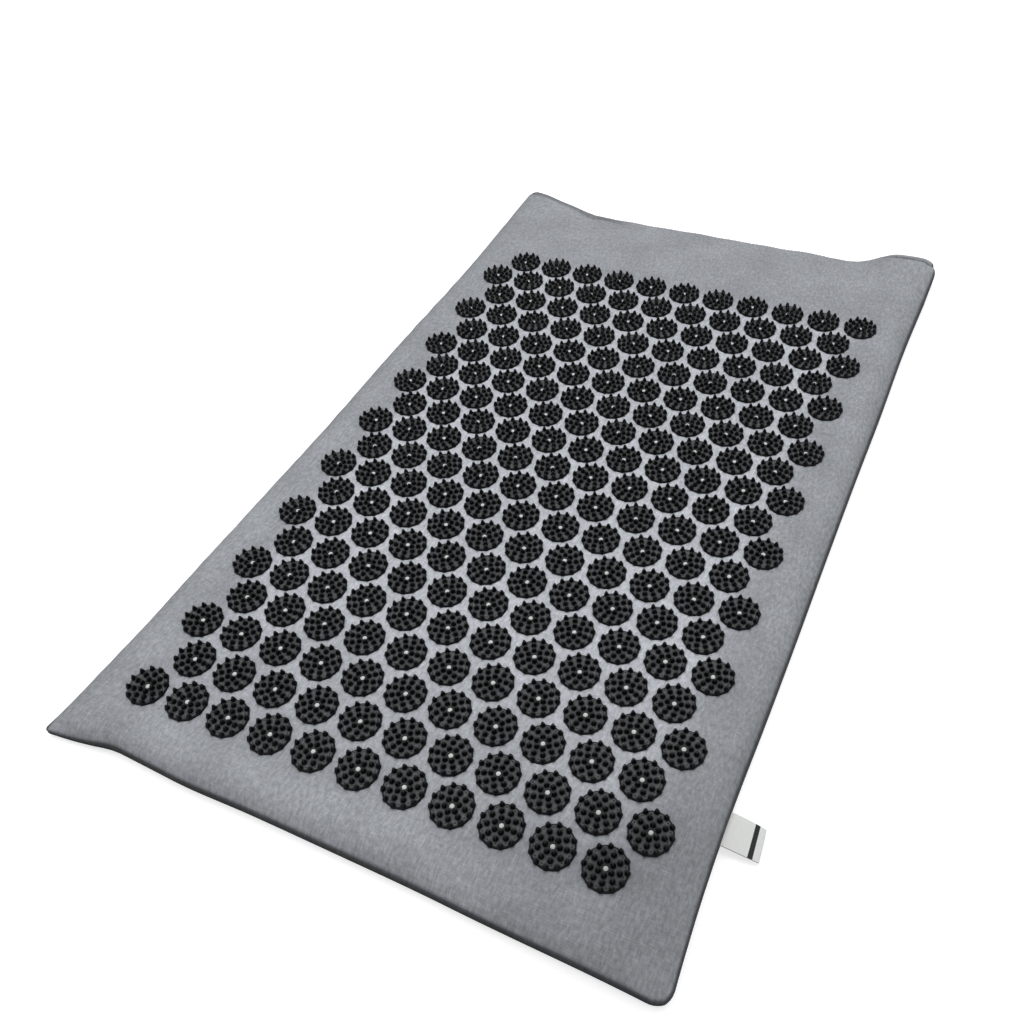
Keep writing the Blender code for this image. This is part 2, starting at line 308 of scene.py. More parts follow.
def closed_pair(upper, lower):
    """Points and faces of two grids that share the upper one's rim, and the numbers of the points inside the rim."""
    rows, columns = upper.shape[:2]
    number = np.arange(rows * columns)
    inner = np.setdiff1d(number, rim_numbers(rows, columns))
    number[inner] = rows * columns + np.arange(len(inner))
    quads = grid_quads(rows, columns)
    points = np.concatenate([upper.reshape(-1, 3), lower.reshape(-1, 3)[inner]])
    return points, np.concatenate([quads, number[quads[:, ::-1]]]), inner


def new_piece(name, material, points, faces, uv=None, uv_name="cloth_metres"):
    """An object at the origin from arrays of points and of quads, of which repeated corners make triangles."""
    mesh = bpy.data.meshes.new(name)
    rows = [list(dict.fromkeys(face)) for face in np.asarray(faces).tolist()]
    mesh.from_pydata(np.asarray(points, float).reshape(-1, 3).tolist(), [], [r for r in rows if len(r) > 2])
    if uv is not None:
        corner_points = np.empty(len(mesh.loops), int)
        mesh.loops.foreach_get("vertex_index", corner_points)
        layer = mesh.uv_layers.new(name=uv_name)
        layer.data.foreach_set("uv", np.asarray(uv, np.float32).reshape(-1, 2)[corner_points].ravel())
    mesh.shade_smooth()
    mesh.materials.append(material)
    piece = bpy.data.objects.new(name, mesh)
    bpy.context.scene.collection.objects.link(piece)
    return piece


def add_share(piece, name, values):
    """Stores one number for each point, for the material to read as an attribute."""
    attribute = piece.data.attributes.new(name, "FLOAT", "POINT")
    attribute.data.foreach_set("value", np.asarray(values, np.float32))


def fit_piece(piece, body, slot, *nodes, sharp_degrees=None):
    """The piece rides on a body and stands for nodes of the frame. Its slot is not used."""
    if sharp_degrees:
        piece.data.set_sharp_from_angle(angle=math.radians(sharp_degrees))
    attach(piece, body)
    if nodes:
        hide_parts(*nodes)


print("a 3 x 4 grid has", len(grid_quads(3, 4)), "faces")

# %% [markdown]
# ## Sizes of the mat
#
# The frame says where each solid is, so the rows of discs are read from it. The rest are sizes of the cloth: how
# wide its edges roll down to the seam, how far each corner stands out as an ear, and how high the seam runs.

# %% Sizes of the mat
row_count = 20
discs_in_row = 11
row_boxes = np.array([node_box(f"disc_row_{n + 1:02d}") for n in range(row_count)])
disc_radius = (row_boxes[0, 1, 1] - row_boxes[0, 0, 1]) / 2
side_roll, near_roll, far_roll = 0.024, 0.028, 0.030
flat_half_width, flat_half_length = 0.17825, 0.302044
half_width = flat_half_width + side_roll
near_edge = -flat_half_length - near_roll
far_edge = flat_half_length + far_roll
top_height = 0.0226
seam_height = 0.008
zip_half = 0.125
print("rows of discs:", row_count, "radius of a disc in mm:", round(1000 * disc_radius, 2))

# %% [markdown]
# ## The sewn outline
#
# A hand-guided seam is never quite straight. The outline wanders by a few millimetres, and that is most of what
# makes one mat look like itself. A straight edge with noise on it would be easy, but it would not be this mat. So
# each edge is a smooth curve through a dozen places, in millimetres outwards of the cut's straight line.

# %% The sewn outline
mm = 0.001
near_wander = (
    (-206, -188, -176, -164, -150, -132, -112, -60, 0, 60, 96, 140, 190, 206),
    (-3.2, -3.4, -4.6, -5.4, -4.4, -3.0, -1.6, -1.2, 0.1, 1.7, 3.3, 4.3, 4.1, 3.6),
)
left_wander = (
    (-335, -318, -296, -260, -200, -120, -20, 60, 110, 200, 290, 332),
    (6.4, 5.8, 5.0, 4.4, 4.2, 3.4, 2.2, 3.4, 2.8, 2.3, 2.6, 1.0),
)
right_wander = (
    (-335, -300, -265, -215, -165, -110, -20, 70, 140, 230, 290, 332),
    (-2.0, -3.1, -3.4, -3.1, -1.9, -1.2, -0.8, 0.0, 1.1, 1.0, 1.5, 1.2),
)


def through(places, values, x):
    """A smooth curve through given points: cubic pieces whose slope at each point is that of its neighbours' chord."""
    slopes = np.gradient(values, places, axis=0)
    left = np.clip(np.searchsorted(places, x) - 1, 0, len(places) - 2)
    width = (places[left + 1] - places[left]).reshape(left.shape + (1,) * (values.ndim - 1))
    t = np.clip((x - places[left]).reshape(width.shape) / width, 0.0, 1.0)
    climb = values[left + 1] - values[left]
    start, stop = slopes[left] * width, slopes[left + 1] * width
    return values[left] + t * start + t**2 * (3 * climb - 2 * start - stop) + t**3 * (start + stop - 2 * climb)


def wander(edge, along):
    places, values = np.array(edge[0]) * mm, np.array(edge[1]) * mm
    return through(places, values, np.clip(along, places[0], places[-1]))


print("near edge wanders by mm:", min(near_wander[1]), "to", max(near_wander[1]))

# %% [markdown]
# ## Where the discs sit
#
# The rows come from the frame's boxes. On the real mat the cloth is drawn over the foam by hand after the discs are
# on it, and carries them along by up to three millimetres. The drift is smooth, so four short curves hold it:
# sideways and lengthways, at the left and the right end of the rows.

# %% Where the discs sit
drift_rows = (-285, -230, -170, -100, -30, 40, 110, 170, 225)
drift_mm = {
    "left x": (-0.3, 0.0, 0.3, 1.1, 1.4, 2.1, 1.6, 0.5, 0.1),
    "right x": (1.4, 1.0, 0.3, 0.1, -0.3, -0.1, 0.4, 1.0, 2.1),
    "left y": (-1.2, 0.2, 0.4, 0.2, -0.6, -2.1, -2.9, -1.3, -0.4),
    "right y": (-0.5, 0.1, 0.3, -0.8, -0.9, -1.6, -1.6, -0.1, 1.2),
}
drift_half_width = 0.17


def disc_places():
    """Centres of all discs, as an array of rows x discs x (x, y)."""
    low, high = row_boxes[:, 0], row_boxes[:, 1]
    x = np.linspace(low[:, 0] + disc_radius, high[:, 0] - disc_radius, discs_in_row, axis=1)
    y = np.tile((low[:, 1:2] + high[:, 1:2]) / 2, discs_in_row)
    right = 0.5 + x / (2 * drift_half_width)
    drift = {name: wander((drift_rows, values), y) for name, values in drift_mm.items()}
    moves = [drift[f"left {way}"] * (1.0 - right) + drift[f"right {way}"] * right for way in "xy"]
    return together(x, y) + together(*moves)


disc_centres = disc_places()
print("discs:", disc_centres.shape[0] * disc_centres.shape[1])

# %% [markdown]
# ## The cover's shape
#
# The cover is sewn from two panels round a slab with square edges, so each edge drops in a blunt roll to a seam
# half-way down, and each corner is left over as a flat ear. A simulation alone would need the exact cut of the
# cloth. Instead a formula gives the shape that the cloth is cut to, and a simulation then adds its slack.
#
# The roll is a superellipse, which is fuller than a circle: height = (1 - (1 - share)^p)^(1/p), where share runs
# from 0 at the seam to 1 where the cloth is flat.

# %% Rolls and corners
roll_power = 2.2
far_roll_power = 2.5
under_roll_share = 0.62


def smooth_step(share):
    share = np.clip(share, 0.0, 1.0)
    return share * share * (3.0 - 2.0 * share)


def hump(distance, middle, width):
    """A soft bump of height 1: exp(-((distance - middle) / width)^2)."""
    return np.exp(-(((distance - middle) / width) ** 2))


def rise(share, power=roll_power):
    return (1.0 - (1.0 - np.clip(share, 0.0, 1.0)) ** power) ** (1.0 / power)


def share_at(height, power):
    """The share of the roll at which rise() reaches this height."""
    return 1.0 - (1.0 - height**power) ** (1.0 / power)


def round_corner(x, y, edge_x, edge_y, radius):
    """Moves a square corner's points into a round one: a point (s, t) of the corner keeps its larger share."""
    s = 1.0 - (edge_x - np.abs(x)) / radius
    t = 1.0 - (edge_y - np.abs(y)) / radius
    inside = (s > 0.0) & (t > 0.0)
    s, t = np.where(inside, s, 1.0), np.where(inside, t, 1.0)
    shrink = np.maximum(s, t) / np.hypot(s, t)
    round_x = np.sign(x) * (edge_x - radius * (1.0 - s * shrink))
    round_y = np.sign(y) * (edge_y - radius * (1.0 - t * shrink))
    return np.where(inside, round_x, x), np.where(inside, round_y, y)


print("half-way up the roll at share", round(float(share_at(0.5, roll_power)), 3))

# %% [markdown]
# ## The four ears
#
# Foam fills a corner only to its own square corner, so the cloth beyond it lies flat: that is an ear. The two far
# ones are long, because the zip keeps the middle of the far edge back. The left one runs out in a straight line,
# and the right one is blunt, with a lip curled up along its end. The near left ear is a sharp point with a
# dimple where the foam stops. The near right corner is just round.

# %% The four ears
side_ear = near_ear = 0.004
ear_power = 6
far_ear = 0.030
far_ear_lift = 0.004
left_ear_start, left_ear_power = 0.1225, 0.98
right_ear_start, right_ear_full, right_ear_share = 0.127, 0.174, 0.87
point_reach, point_drop, point_out = 0.050, 0.0035, 0.0045
corner_radii = {(-1, -1): 0.0040, (1, -1): 0.012, (-1, 1): 0.0090, (1, 1): 0.0150}
right_end_start, right_end_reach = 0.146, 0.022

# Height, distance from the edge and width of the folds along the far ears
far_folds = {
    "lip": (0.0030, 0.0, 0.0042),
    "ridge": (0.0006, 0.0026, 0.0018),
    "groove": (-0.0014, 0.0062, 0.0013),
    "crease": (-0.0030, 0.0066, 0.0012),
}


def far_pull(x):
    """How far the far edge stands out, from 0 at the zip to 1 at an ear's end."""
    left = np.clip((-x - left_ear_start) / (half_width - left_ear_start), 0.0, 1.0) ** left_ear_power
    right = right_ear_share * smooth_step((x - right_ear_start) / (right_ear_full - right_ear_start))
    return np.where(x < 0.0, left, right)


def corner_radius(x, y):
    radius = np.zeros_like(x)
    for (side_x, side_y), value in corner_radii.items():
        radius = np.where((np.sign(x + 1e-9) == side_x) & (np.sign(y + 1e-9) == side_y), value, radius)
    return radius


def ear_relief(x, distance, side):
    """On the far left ear, the seam allowance inside makes a ridge along the edge. On the right, a lip curls up."""
    right_end = smooth_step((x - right_end_start) / right_end_reach)
    lip, ridge, groove, crease = [height * hump(distance, *place) for height, *place in far_folds.values()]
    if side < 0:
        return right_end * lip
    return far_pull(x) * (ridge + groove) * (1.0 - right_end) + right_end * (lip + crease)


pulls = far_pull(np.array([-0.15, 0.15]))
print("far edge stands out at 150 mm left and right, in mm:", np.round(1000 * far_ear * pulls, 1).tolist())

# %% [markdown]
# ## Where each point of the cloth lies
#
# One function turns a place on the flat cut into a place in space. Both panels use it, so they meet at the seam.
# Along the zip the two panels part, and each ends in a folded lip.

# %% Where each point of the cloth lies
seam_nose = 0.0012
zip_lip_height = 0.0052
zip_lip_blend = 0.007
far_bulge, far_bulge_share = 0.0052, 0.15
far_hollow, far_hollow_x, far_hollow_width = 0.0018, -0.075, 0.055
far_crest, far_crest_reach = 0.0009, 0.07
dimple_depth, dimple_x, dimple_y = 0.0022, (-0.182, 0.011), (-0.315, 0.008)
near_slope_drop, near_slope_start, near_slope_reach = 0.0021, -0.262, 0.044
corner_drop, corner_drop_x, corner_drop_y = 0.0035, (0.07, 0.12), (-0.215, 0.08)


def roll_shares(x, y):
    """How far up each roll a place is: from 0 at the side, near and far seams to 1 on the flat."""
    across = np.clip((half_width - np.abs(x)) / side_roll, 0.0, 1.0)
    near = np.clip((y - near_edge) / near_roll, 0.0, 1.0)
    return across, near, np.clip((far_edge - y) / far_roll, 0.0, 1.0)


def top_drop(x, y):
    """How far the top sinks towards the near edge, and more so at the near right corner, where the foam is soft."""
    near = near_slope_drop * smooth_step((near_slope_start - y) / near_slope_reach)
    from_right = smooth_step((x - corner_drop_x[0]) / corner_drop_x[1])
    return near + corner_drop * from_right * smooth_step((corner_drop_y[0] - y) / corner_drop_y[1])


def cover_surface(x, y, side):
    """Where the cloth cut at (x, y) lies. side is 1 on the upper panel and -1 on the lower one.

    Height = seam + (flat level - seam) * rise(across) * rise(along). The outline is the cut's rectangle with its
    corners pulled out by the 6th power of the place along each edge, its wandering edges, and its far ears.
    """
    narrow = 1.0 if side > 0 else under_roll_share
    flat_level = top_height if side > 0 else 0.0
    across, near, far = roll_shares(x, y)
    in_zip = smooth_step((zip_half - np.abs(x)) / zip_lip_blend)
    lip_share = share_at((zip_lip_height - seam_nose) / abs(flat_level - seam_height), far_roll_power)
    lip = in_zip * narrow * lip_share
    far = lip + (1.0 - lip) * far
    pull = far_pull(x)
    tip = smooth_step(1.0 - np.hypot(x + half_width, y - near_edge) / point_reach)
    side_out = side_ear * np.abs(y / far_edge) ** ear_power
    side_out = side_out + np.where(x < 0.0, wander(left_wander, y) + point_out * tip, wander(right_wander, y))
    near_out = near_ear * np.abs(x / half_width) ** ear_power + wander(near_wander, x)
    out_x = x + np.sign(x) * side_out * (1.0 - across)
    reach = far_roll + far_ear * pull
    out_y = np.where(y > flat_half_length, flat_half_length + reach * (1.0 - far), y)
    if side > 0:
        bulge = (far_bulge - far_hollow * hump(x, far_hollow_x, far_hollow_width)) * (1.0 - 0.7 * pull)
        out_y = out_y + bulge * (far / far_bulge_share) * np.exp(1.0 - far / far_bulge_share) * (y > 0.0)
    out_y = out_y - near_out * (1.0 - near)
    edge_y = np.where(y > 0.0, far_edge + far_ear * pull, -near_edge + near_out)
    out_x, out_y = round_corner(out_x, out_y, half_width + side_out, edge_y, corner_radius(x, y))
    level = seam_height + side * seam_nose + far_ear_lift * pull * (1.0 - far) - point_drop * tip
    fill = rise(across / narrow) * rise(near / narrow) * rise(far / narrow, far_roll_power)
    height = fill ** (1.0 + 0.9 * tip)
    z = level + (flat_level - level) * height
    z = z + np.where(y > flat_half_length, ear_relief(x, far * reach, side), 0.0)
    if side > 0:
        crest = np.sin(math.pi * np.clip((far_edge - y) / far_crest_reach, 0.0, 1.0))
        z = z + far_crest * crest * (1.0 - 0.6 * pull)
        z = z - dimple_depth * hump(x, *dimple_x) * hump(y, *dimple_y)
        z = z - top_drop(x, y) * height
    return np.stack([out_x, out_y, z], axis=-1)


def cut_lines(low, high, low_roll, high_roll, low_steps, high_steps, flat_step):
    """Places of grid lines across a panel: even on the flat, and closer towards the seam in each roll."""
    flat_low, flat_high = low + low_roll, high - high_roll
    flat = np.linspace(flat_low, flat_high, 1 + round((flat_high - flat_low) / flat_step))
    low_lines = low + low_roll * (np.arange(low_steps) / low_steps) ** 1.6
    high_lines = high - high_roll * (np.arange(high_steps) / high_steps) ** 1.6
    return np.concatenate([low_lines, flat, high_lines[::-1]])


def cover_lines(near_steps, far_steps, flat_step):
    """Grid lines of a panel of the cover, across and along."""
    across = cut_lines(-half_width, half_width, side_roll, side_roll, near_steps, near_steps, flat_step)
    return across, cut_lines(near_edge, far_edge, near_roll, far_roll, near_steps, far_steps, flat_step)


print("upper panel at its middle:", np.round(cover_surface(np.zeros(1), np.zeros(1), 1), 4).tolist())

# %% [markdown]
# ## Linen-look weave
#
# The cloth is a plain weave of mottled yarns, light and dark fibres spun together, with a thicker slub here and
# there. An image of cloth would repeat and blur. This group builds the weave from its own rule: at each crossing
# either the warp or the weft yarn is on top, by turns. Every yarn has its own tone that drifts along its length,
# so the cloth looks streaky both ways, as melange does. The label and the zip's tapes use the same group with a
# finer yarn.

# %% Weave group
def make_weave_group():
    group = bpy.data.node_groups.new("weave", "ShaderNodeTree")
    inputs = [("Place", "INPUT", "Vector"), ("Yarn", "INPUT", "Float"), ("Drift", "INPUT", "Float")]
    for name, way, kind in inputs + [(name, "OUTPUT", "Float") for name in ("Height", "Tone", "Slub")]:
        group.interface.new_socket(name, in_out=way, socket_type="NodeSocket" + kind)
    given = Flow(group, group.nodes.new("NodeGroupInput").outputs[0])
    place = add_node(group, "SeparateXYZ", {0: given["Place"]})
    x, y = place[0] / given["Yarn"], place[1] / given["Yarn"]
    warp, weft = x.math("FLOOR"), y.math("FLOOR")
    across_warp, across_weft = [(way.math("FRACT") * math.pi).math("SINE") for way in (x, y)]
    warp_on_top = (warp + weft).math("FLOORED_MODULO", 2.0)

    def yarn_noise(number, along, layer, stretch, detail):
        """Noise that is long along the yarn and unlike from one yarn to the next."""
        length = along / given["Drift"] * stretch
        return noise(add_node(group, "CombineXYZ", {0: number * 1.37, 1: length, 2: layer}), 1.0, detail)

    def on_top(warp_value, weft_value):
        return weft_value + (warp_value - weft_value) * warp_on_top

    tone = on_top(yarn_noise(warp, y, 3.1, 1.0, 2.0), yarn_noise(weft, x, 17.3, 1.0, 2.0))
    slub = on_top(yarn_noise(warp, y, 41.7, 0.45, 0.0), yarn_noise(weft, x, 59.9, 0.45, 0.0)).spread(0.62, 0.74)
    bulge = on_top(across_weft, across_warp) * 0.4 + 0.6
    height = on_top(across_warp, across_weft) * bulge + slub * 0.5
    put(group, {"Height": height, "Tone": tone, "Slub": slub}, group.nodes.new("NodeGroupOutput"))
    return group


weave_group = make_weave_group()
print("weave group nodes:", len(weave_group.nodes))

# %% [markdown]
# ## Grey cloth
#
# The cover's colour is a light, slightly blue grey. Several things vary it: the tone of each yarn, pale flecks on
# the slubs, a fine mottle, and broad faint patches where the cloth was handled or pressed. A share stored on the
# mesh paints light on the cloth between the discs and on a few broad patches of the borders. A second share paints
# shade on the cloth that is drawn into the seam, in the creases and hem of the far ears and on the right border.
# The weave's height goes through a Bump node, at a tenth of a millimetre, which is too small to model.

# %% Grey cloth
# How dark the painted shade makes the cloth where its share is full
painted_shade_level = 0.25
fleck_strength = 0.55
patch_scale, mottle_scale = 26.0, 340.0


def add_weave(tree, yarn, drift):
    """The weave group on the piece's own UV map, which is in metres. Also that map."""
    place = add_node(tree, "UVMap", uv_map="cloth_metres")
    return add_node(tree, "Group", {"Place": place, "Yarn": yarn, "Drift": drift}, node_tree=weave_group), place


def make_cloth(name, dark, light, fleck, yarn, drift, depth, patch_share, mottle_share, painted_light_gain):
    material, tree = new_material(name)
    weave, place = add_weave(tree, yarn, drift)
    colour = mix(weave["Tone"].spread(0.3, 0.7), dark, light)
    colour = mix(weave["Slub"] * fleck_strength, colour, fleck)
    streaked = add_node(tree, "VectorMath", {0: place, 1: (1.5, 0.75, 1.0)}, operation="MULTIPLY")
    shade = noise(place, patch_scale, 3.0).spread(0.3, 0.7, 1.0 - patch_share, 1.0 + patch_share)
    shade *= noise(streaked, mottle_scale, 2.0).spread(0.3, 0.7, 1.0 - mottle_share, 1.0 + mottle_share)
    # Two shares stored on the mesh: painted light between the discs and on pale borders, and painted shade at the seam
    # and in folds
    for share, gain in (("painted_light_share", painted_light_gain), ("painted_shade_share", painted_shade_level)):
        shade *= add_node(tree, "Attribute", out="Fac", attribute_name=share).spread(0.0, 1.0, 1.0, gain)
    colour = add_node(tree, "VectorMath", {0: colour, "Scale": shade}, operation="SCALE")
    roughness = weave["Height"].spread(0.0, 1.0, 0.95, 0.8)
    feed_shader(tree, colour, roughness, weave["Height"], depth, 0.6, specular=0.12)
    return material


grey_cloth = make_cloth(
    "grey_cloth", dark=(0.244, 0.255, 0.276), light=(0.349, 0.363, 0.388), fleck=(0.459, 0.473, 0.501),
    yarn=0.00045, drift=8.0, depth=0.00012, patch_share=0.09, mottle_share=0.16, painted_light_gain=2.0,
)
print("cloth material:", grey_cloth.name)

# %% [markdown]
# ## Slack from a simulation
#
# A cover is cut a little wider than its foam, and the seam takes up less cloth than runs into it. That slack is
# what makes soft puckers across the seam and shallow waves on the border. It could be drawn with noise, but noise
# doesn't know where the cloth is held. Here a coarse copy of the whole cover is held under its discs and on the
# floor, the free cloth grows by a few per cent, and light pressure from inside settles it.
#
# The coarse points' moves are then passed to the fine panels by the same smooth curves as the outline.

# %% Slack from a simulation
coarse_x, coarse_y = cover_lines(6, 8, 0.0055)
disc_hold = 0.0035
rim_weight, free_weight, slack_below = 0.3, 0.1, 0.25
longest_move = 0.0032
settle_frames = 20
cloth_settings = dict(
    quality=6, mass=0.25, tension_stiffness=18.0, compression_stiffness=18.0, shear_stiffness=6.0,
    bending_stiffness=0.35, vertex_group_mass="held", pin_stiffness=1.0, vertex_group_shrink="slack",
    shrink_min=0.0, shrink_max=-0.045, use_pressure=True, uniform_pressure_force=3.0,
)


def to_nearest_disc(x, y):
    """Distance from each point to the nearest disc's centre."""
    nearest = np.full(np.shape(x), 1.0)
    for centre_x, centre_y in disc_centres.reshape(-1, 2):
        nearest = np.minimum(nearest, np.hypot(x - centre_x, y - centre_y))
    return nearest


def coarse_cover():
    """A closed coarse cover, the numbers of its lower grid's inner points, and how firmly each point is held."""
    x, y = np.meshgrid(coarse_x, coarse_y)
    lower = cover_surface(x, y, -1)
    points, faces, inner = closed_pair(cover_surface(x, y, 1), lower)
    held_upper = np.where(to_nearest_disc(x, y).ravel() < disc_radius + disc_hold, 1.0, 0.0)
    held_upper[rim_numbers(*x.shape)] = rim_weight
    at_zip = (np.abs(x) < zip_half + 0.008) & (y > far_edge - 0.006)
    held_upper[at_zip.ravel()] = 1.0
    held_lower = np.where(lower[..., 2].ravel()[inner] < 0.0002, 1.0, free_weight)
    return points, faces, inner, np.concatenate([held_upper, held_lower])


def settle_cover():
    """Runs Cloth on the coarse cover and returns the moves of its upper and lower grids, as rows x columns x 3."""
    points, faces, inner, held = coarse_cover()
    cover = new_piece("coarse_cover", bpy.data.materials.new("coarse"), points, faces)
    group, slack = [cover.vertex_groups.new(name=name) for name in ("held", "slack")]
    for weight in np.unique(held):
        numbers = np.flatnonzero(held == weight).tolist()
        group.add(numbers, float(weight), "REPLACE")
        slack.add(numbers, 1.0 if weight < slack_below else 0.0, "REPLACE")
    cloth = cover.modifiers.new("cloth", "CLOTH")
    for name, value in cloth_settings.items():
        setattr(cloth.settings, name, value)
    cloth.settings.effector_weights.gravity = 0.0
    scene = bpy.context.scene
    for frame_number in range(1, settle_frames + 1):
        scene.frame_set(frame_number)
    settled = cover.evaluated_get(bpy.context.evaluated_depsgraph_get()).data
    after = np.empty(len(points) * 3, np.float32)
    settled.vertices.foreach_get("co", after)
    moves = after.reshape(-1, 3) - points
    scene.frame_set(1)
    bpy.data.objects.remove(cover)
    length = np.linalg.norm(moves, axis=1, keepdims=True) + 1e-9
    moves *= longest_move * np.tanh(length / longest_move) / length
    count = len(coarse_y) * len(coarse_x)
    upper, lower = moves[:count], moves[:count].copy()
    lower[inner] = moves[count:]
    return [grid.reshape(len(coarse_y), len(coarse_x), 3) for grid in (upper, lower)]


upper_moves, lower_moves = settle_cover()
print("cloth moved by up to, in mm:", round(1000 * float(np.linalg.norm(upper_moves, axis=2).max()), 2))

# %% [markdown]
# ## Small creases and shades
#
# The simulation's mesh is too coarse for the smallest relief: the cloth is pressed down at a disc's rim and crowns
# a little between discs, and fine waves run over the rolls. These are added as offsets of a fraction of a
# millimetre. The two shares that the cloth's material reads are worked out here too: painted light between the
# discs, and painted shade at the seam and in the folds. They also hold broad faint patches of painted light and
# shade: the left and near borders are paler in the photograph than the rest of the edge, and the right one darker.

# %% Small creases and shades
crown_height = 0.00035
rim_dent = 0.0002
# How far the painted light between the discs reaches round each disc
painted_light_reach = 0.022
crowd_start, crowd_range = 0.9, 1.5
# Painted shade along the seam, for the upper and the lower panel: full this close to it, and fading over this width
seam_painted_shade = {1: (0.0004, 0.0015), -1: (0.0030, 0.0060)}
broad_wave, broad_wave_length = 0.0005, 0.09
fine_wave, fine_wave_length = 0.0003, 0.022
# Strength of the broad patches of painted light on three borders, and of painted shade on the right border
left_border_painted_light, near_border_painted_light, near_right_painted_light, right_border_painted_shade = 0.12, 0.09, 0.20, 0.12


def ripples(x, y, length, seed, count=7):
    """A smooth field of waves about one length long, in random directions: the scaled sum of count sines."""
    chance = np.random.default_rng(seed)
    angles, phases = chance.uniform(0, 2 * math.pi, (2, count))
    stretch = chance.uniform(0.7, 1.4, count)
    waves = 0.0
    for angle, phase, size in zip(angles, phases, stretch):
        waves = waves + np.sin(2 * math.pi * (x * math.cos(angle) + y * math.sin(angle)) / (length * size) + phase)
    return waves / math.sqrt(count)


def disc_relief(x, y):
    """Cloth is pressed down under a disc's rim and crowns slightly between discs."""
    gap = to_nearest_disc(x, y) - disc_radius
    crown = crown_height * smooth_step(gap / 0.004) * (1.0 - smooth_step((gap - 0.008) / 0.015))
    return crown - rim_dent * (1.0 - smooth_step(np.abs(gap) / 0.002))


def painted_light_share(x, y):
    """Painted light: 1 on the cloth between discs, by how many discs stand close, and about 0.1 on the pale borders.
    """
    crowd = np.zeros(np.shape(x))
    for centre_x, centre_y in disc_centres.reshape(-1, 2):
        crowd += np.exp(-(((x - centre_x) ** 2 + (y - centre_y) ** 2) / painted_light_reach**2))
    near_end_fade = 0.4 + 0.6 * smooth_step((y + 0.29) / 0.14)
    # Broad patches of painted light on the left, near and near right borders
    left_border = smooth_step((-0.160 - x) / 0.020) * hump(y, -0.14, 0.09)
    near_border = smooth_step((-0.283 - y) / 0.020) * smooth_step((x + 0.17) / 0.03) * smooth_step((0.09 - x) / 0.06)
    near_right = hump(x, 0.150, 0.022) * hump(y, -0.304, 0.014)
    pale = left_border_painted_light * left_border + near_border_painted_light * near_border + near_right_painted_light * near_right
    return near_end_fade * smooth_step((crowd - crowd_start) / crowd_range) + pale


def painted_shade_share(x, y, side):
    """Painted shade: 1 where the cloth is drawn into the seam, less in the creases and hem of the far ears and on the
    right border.
    """
    along_far = roll_shares(x, y)[2] * (far_roll + far_ear * far_pull(x))
    to_seam = np.minimum(half_width - np.abs(x), np.minimum(y - near_edge, along_far))
    # Painted shade where the cloth is drawn into the seam
    near_seam = 1.0 - smooth_step((to_seam - seam_painted_shade[side][0]) / seam_painted_shade[side][1])
    # Painted shade in the far right ear's crease, along the far left ear's hem and on the right border
    crease = 0.83 * hump(along_far, 0.0066, 0.0011) * smooth_step((x - 0.150) / 0.02)
    hem = 0.5 * (1.0 - smooth_step((along_far - 0.0110) / 0.0030)) * smooth_step((-0.075 - x) / 0.03)
    right_border = right_border_painted_shade * smooth_step((x - 0.168) / 0.020) * hump(y, -0.19, 0.08)
    return np.maximum(near_seam, (np.maximum(crease, hem) * (y > 0.0) + right_border) * (side > 0))


def crease_offset(x, y):
    """How far small creases lift the cloth of a roll: waves that fade at the seam and on the flat."""
    across, near, far = roll_shares(x, y)
    roll = np.sin(math.pi * np.minimum(across, np.minimum(near, far)) ** 0.6)
    waves = broad_wave * ripples(x, y, broad_wave_length, 11) + fine_wave * ripples(x, y, fine_wave_length, 23)
    return roll * waves


print("crown between discs in mm:", 1000 * crown_height)

# %% [markdown]
# ## The two panels
#
# Each panel is the formula on a fine grid, plus its moves and creases. At its rim the cloth turns in towards the
# stitches, which leaves the narrow groove of a seam. That turn is a quarter circle carried round the rim, so it is
# added as a strip. Solidify gives the cloth its thickness.

# %% The two panels
cloth_thickness = 0.0008
seam_gap = 0.00015
turn_steps = 4
turn_uv_step = 0.0006
rim_curves = {}


def inward_of(line):
    """Level unit directions square to a path that runs anticlockwise, given its steps."""
    return unit(together(-line[:, 1], line[:, 0], 0.0 * line[:, 0]))


def turned_rim(line, side):
    """Rings that follow the rim inwards on a quarter circle: in by nose * (1 - cos), down by nose * sin."""
    inward = inward_of(np.roll(line, -1, axis=0) - np.roll(line, 1, axis=0))
    rings = []
    for angle in np.linspace(0.0, math.pi / 2, turn_steps + 1)[1:]:
        drop = (seam_nose - seam_gap) * math.sin(angle)
        rings.append(line + inward * seam_nose * (1.0 - math.cos(angle)) - np.array([0.0, 0.0, side * drop]))
    return np.array(rings)


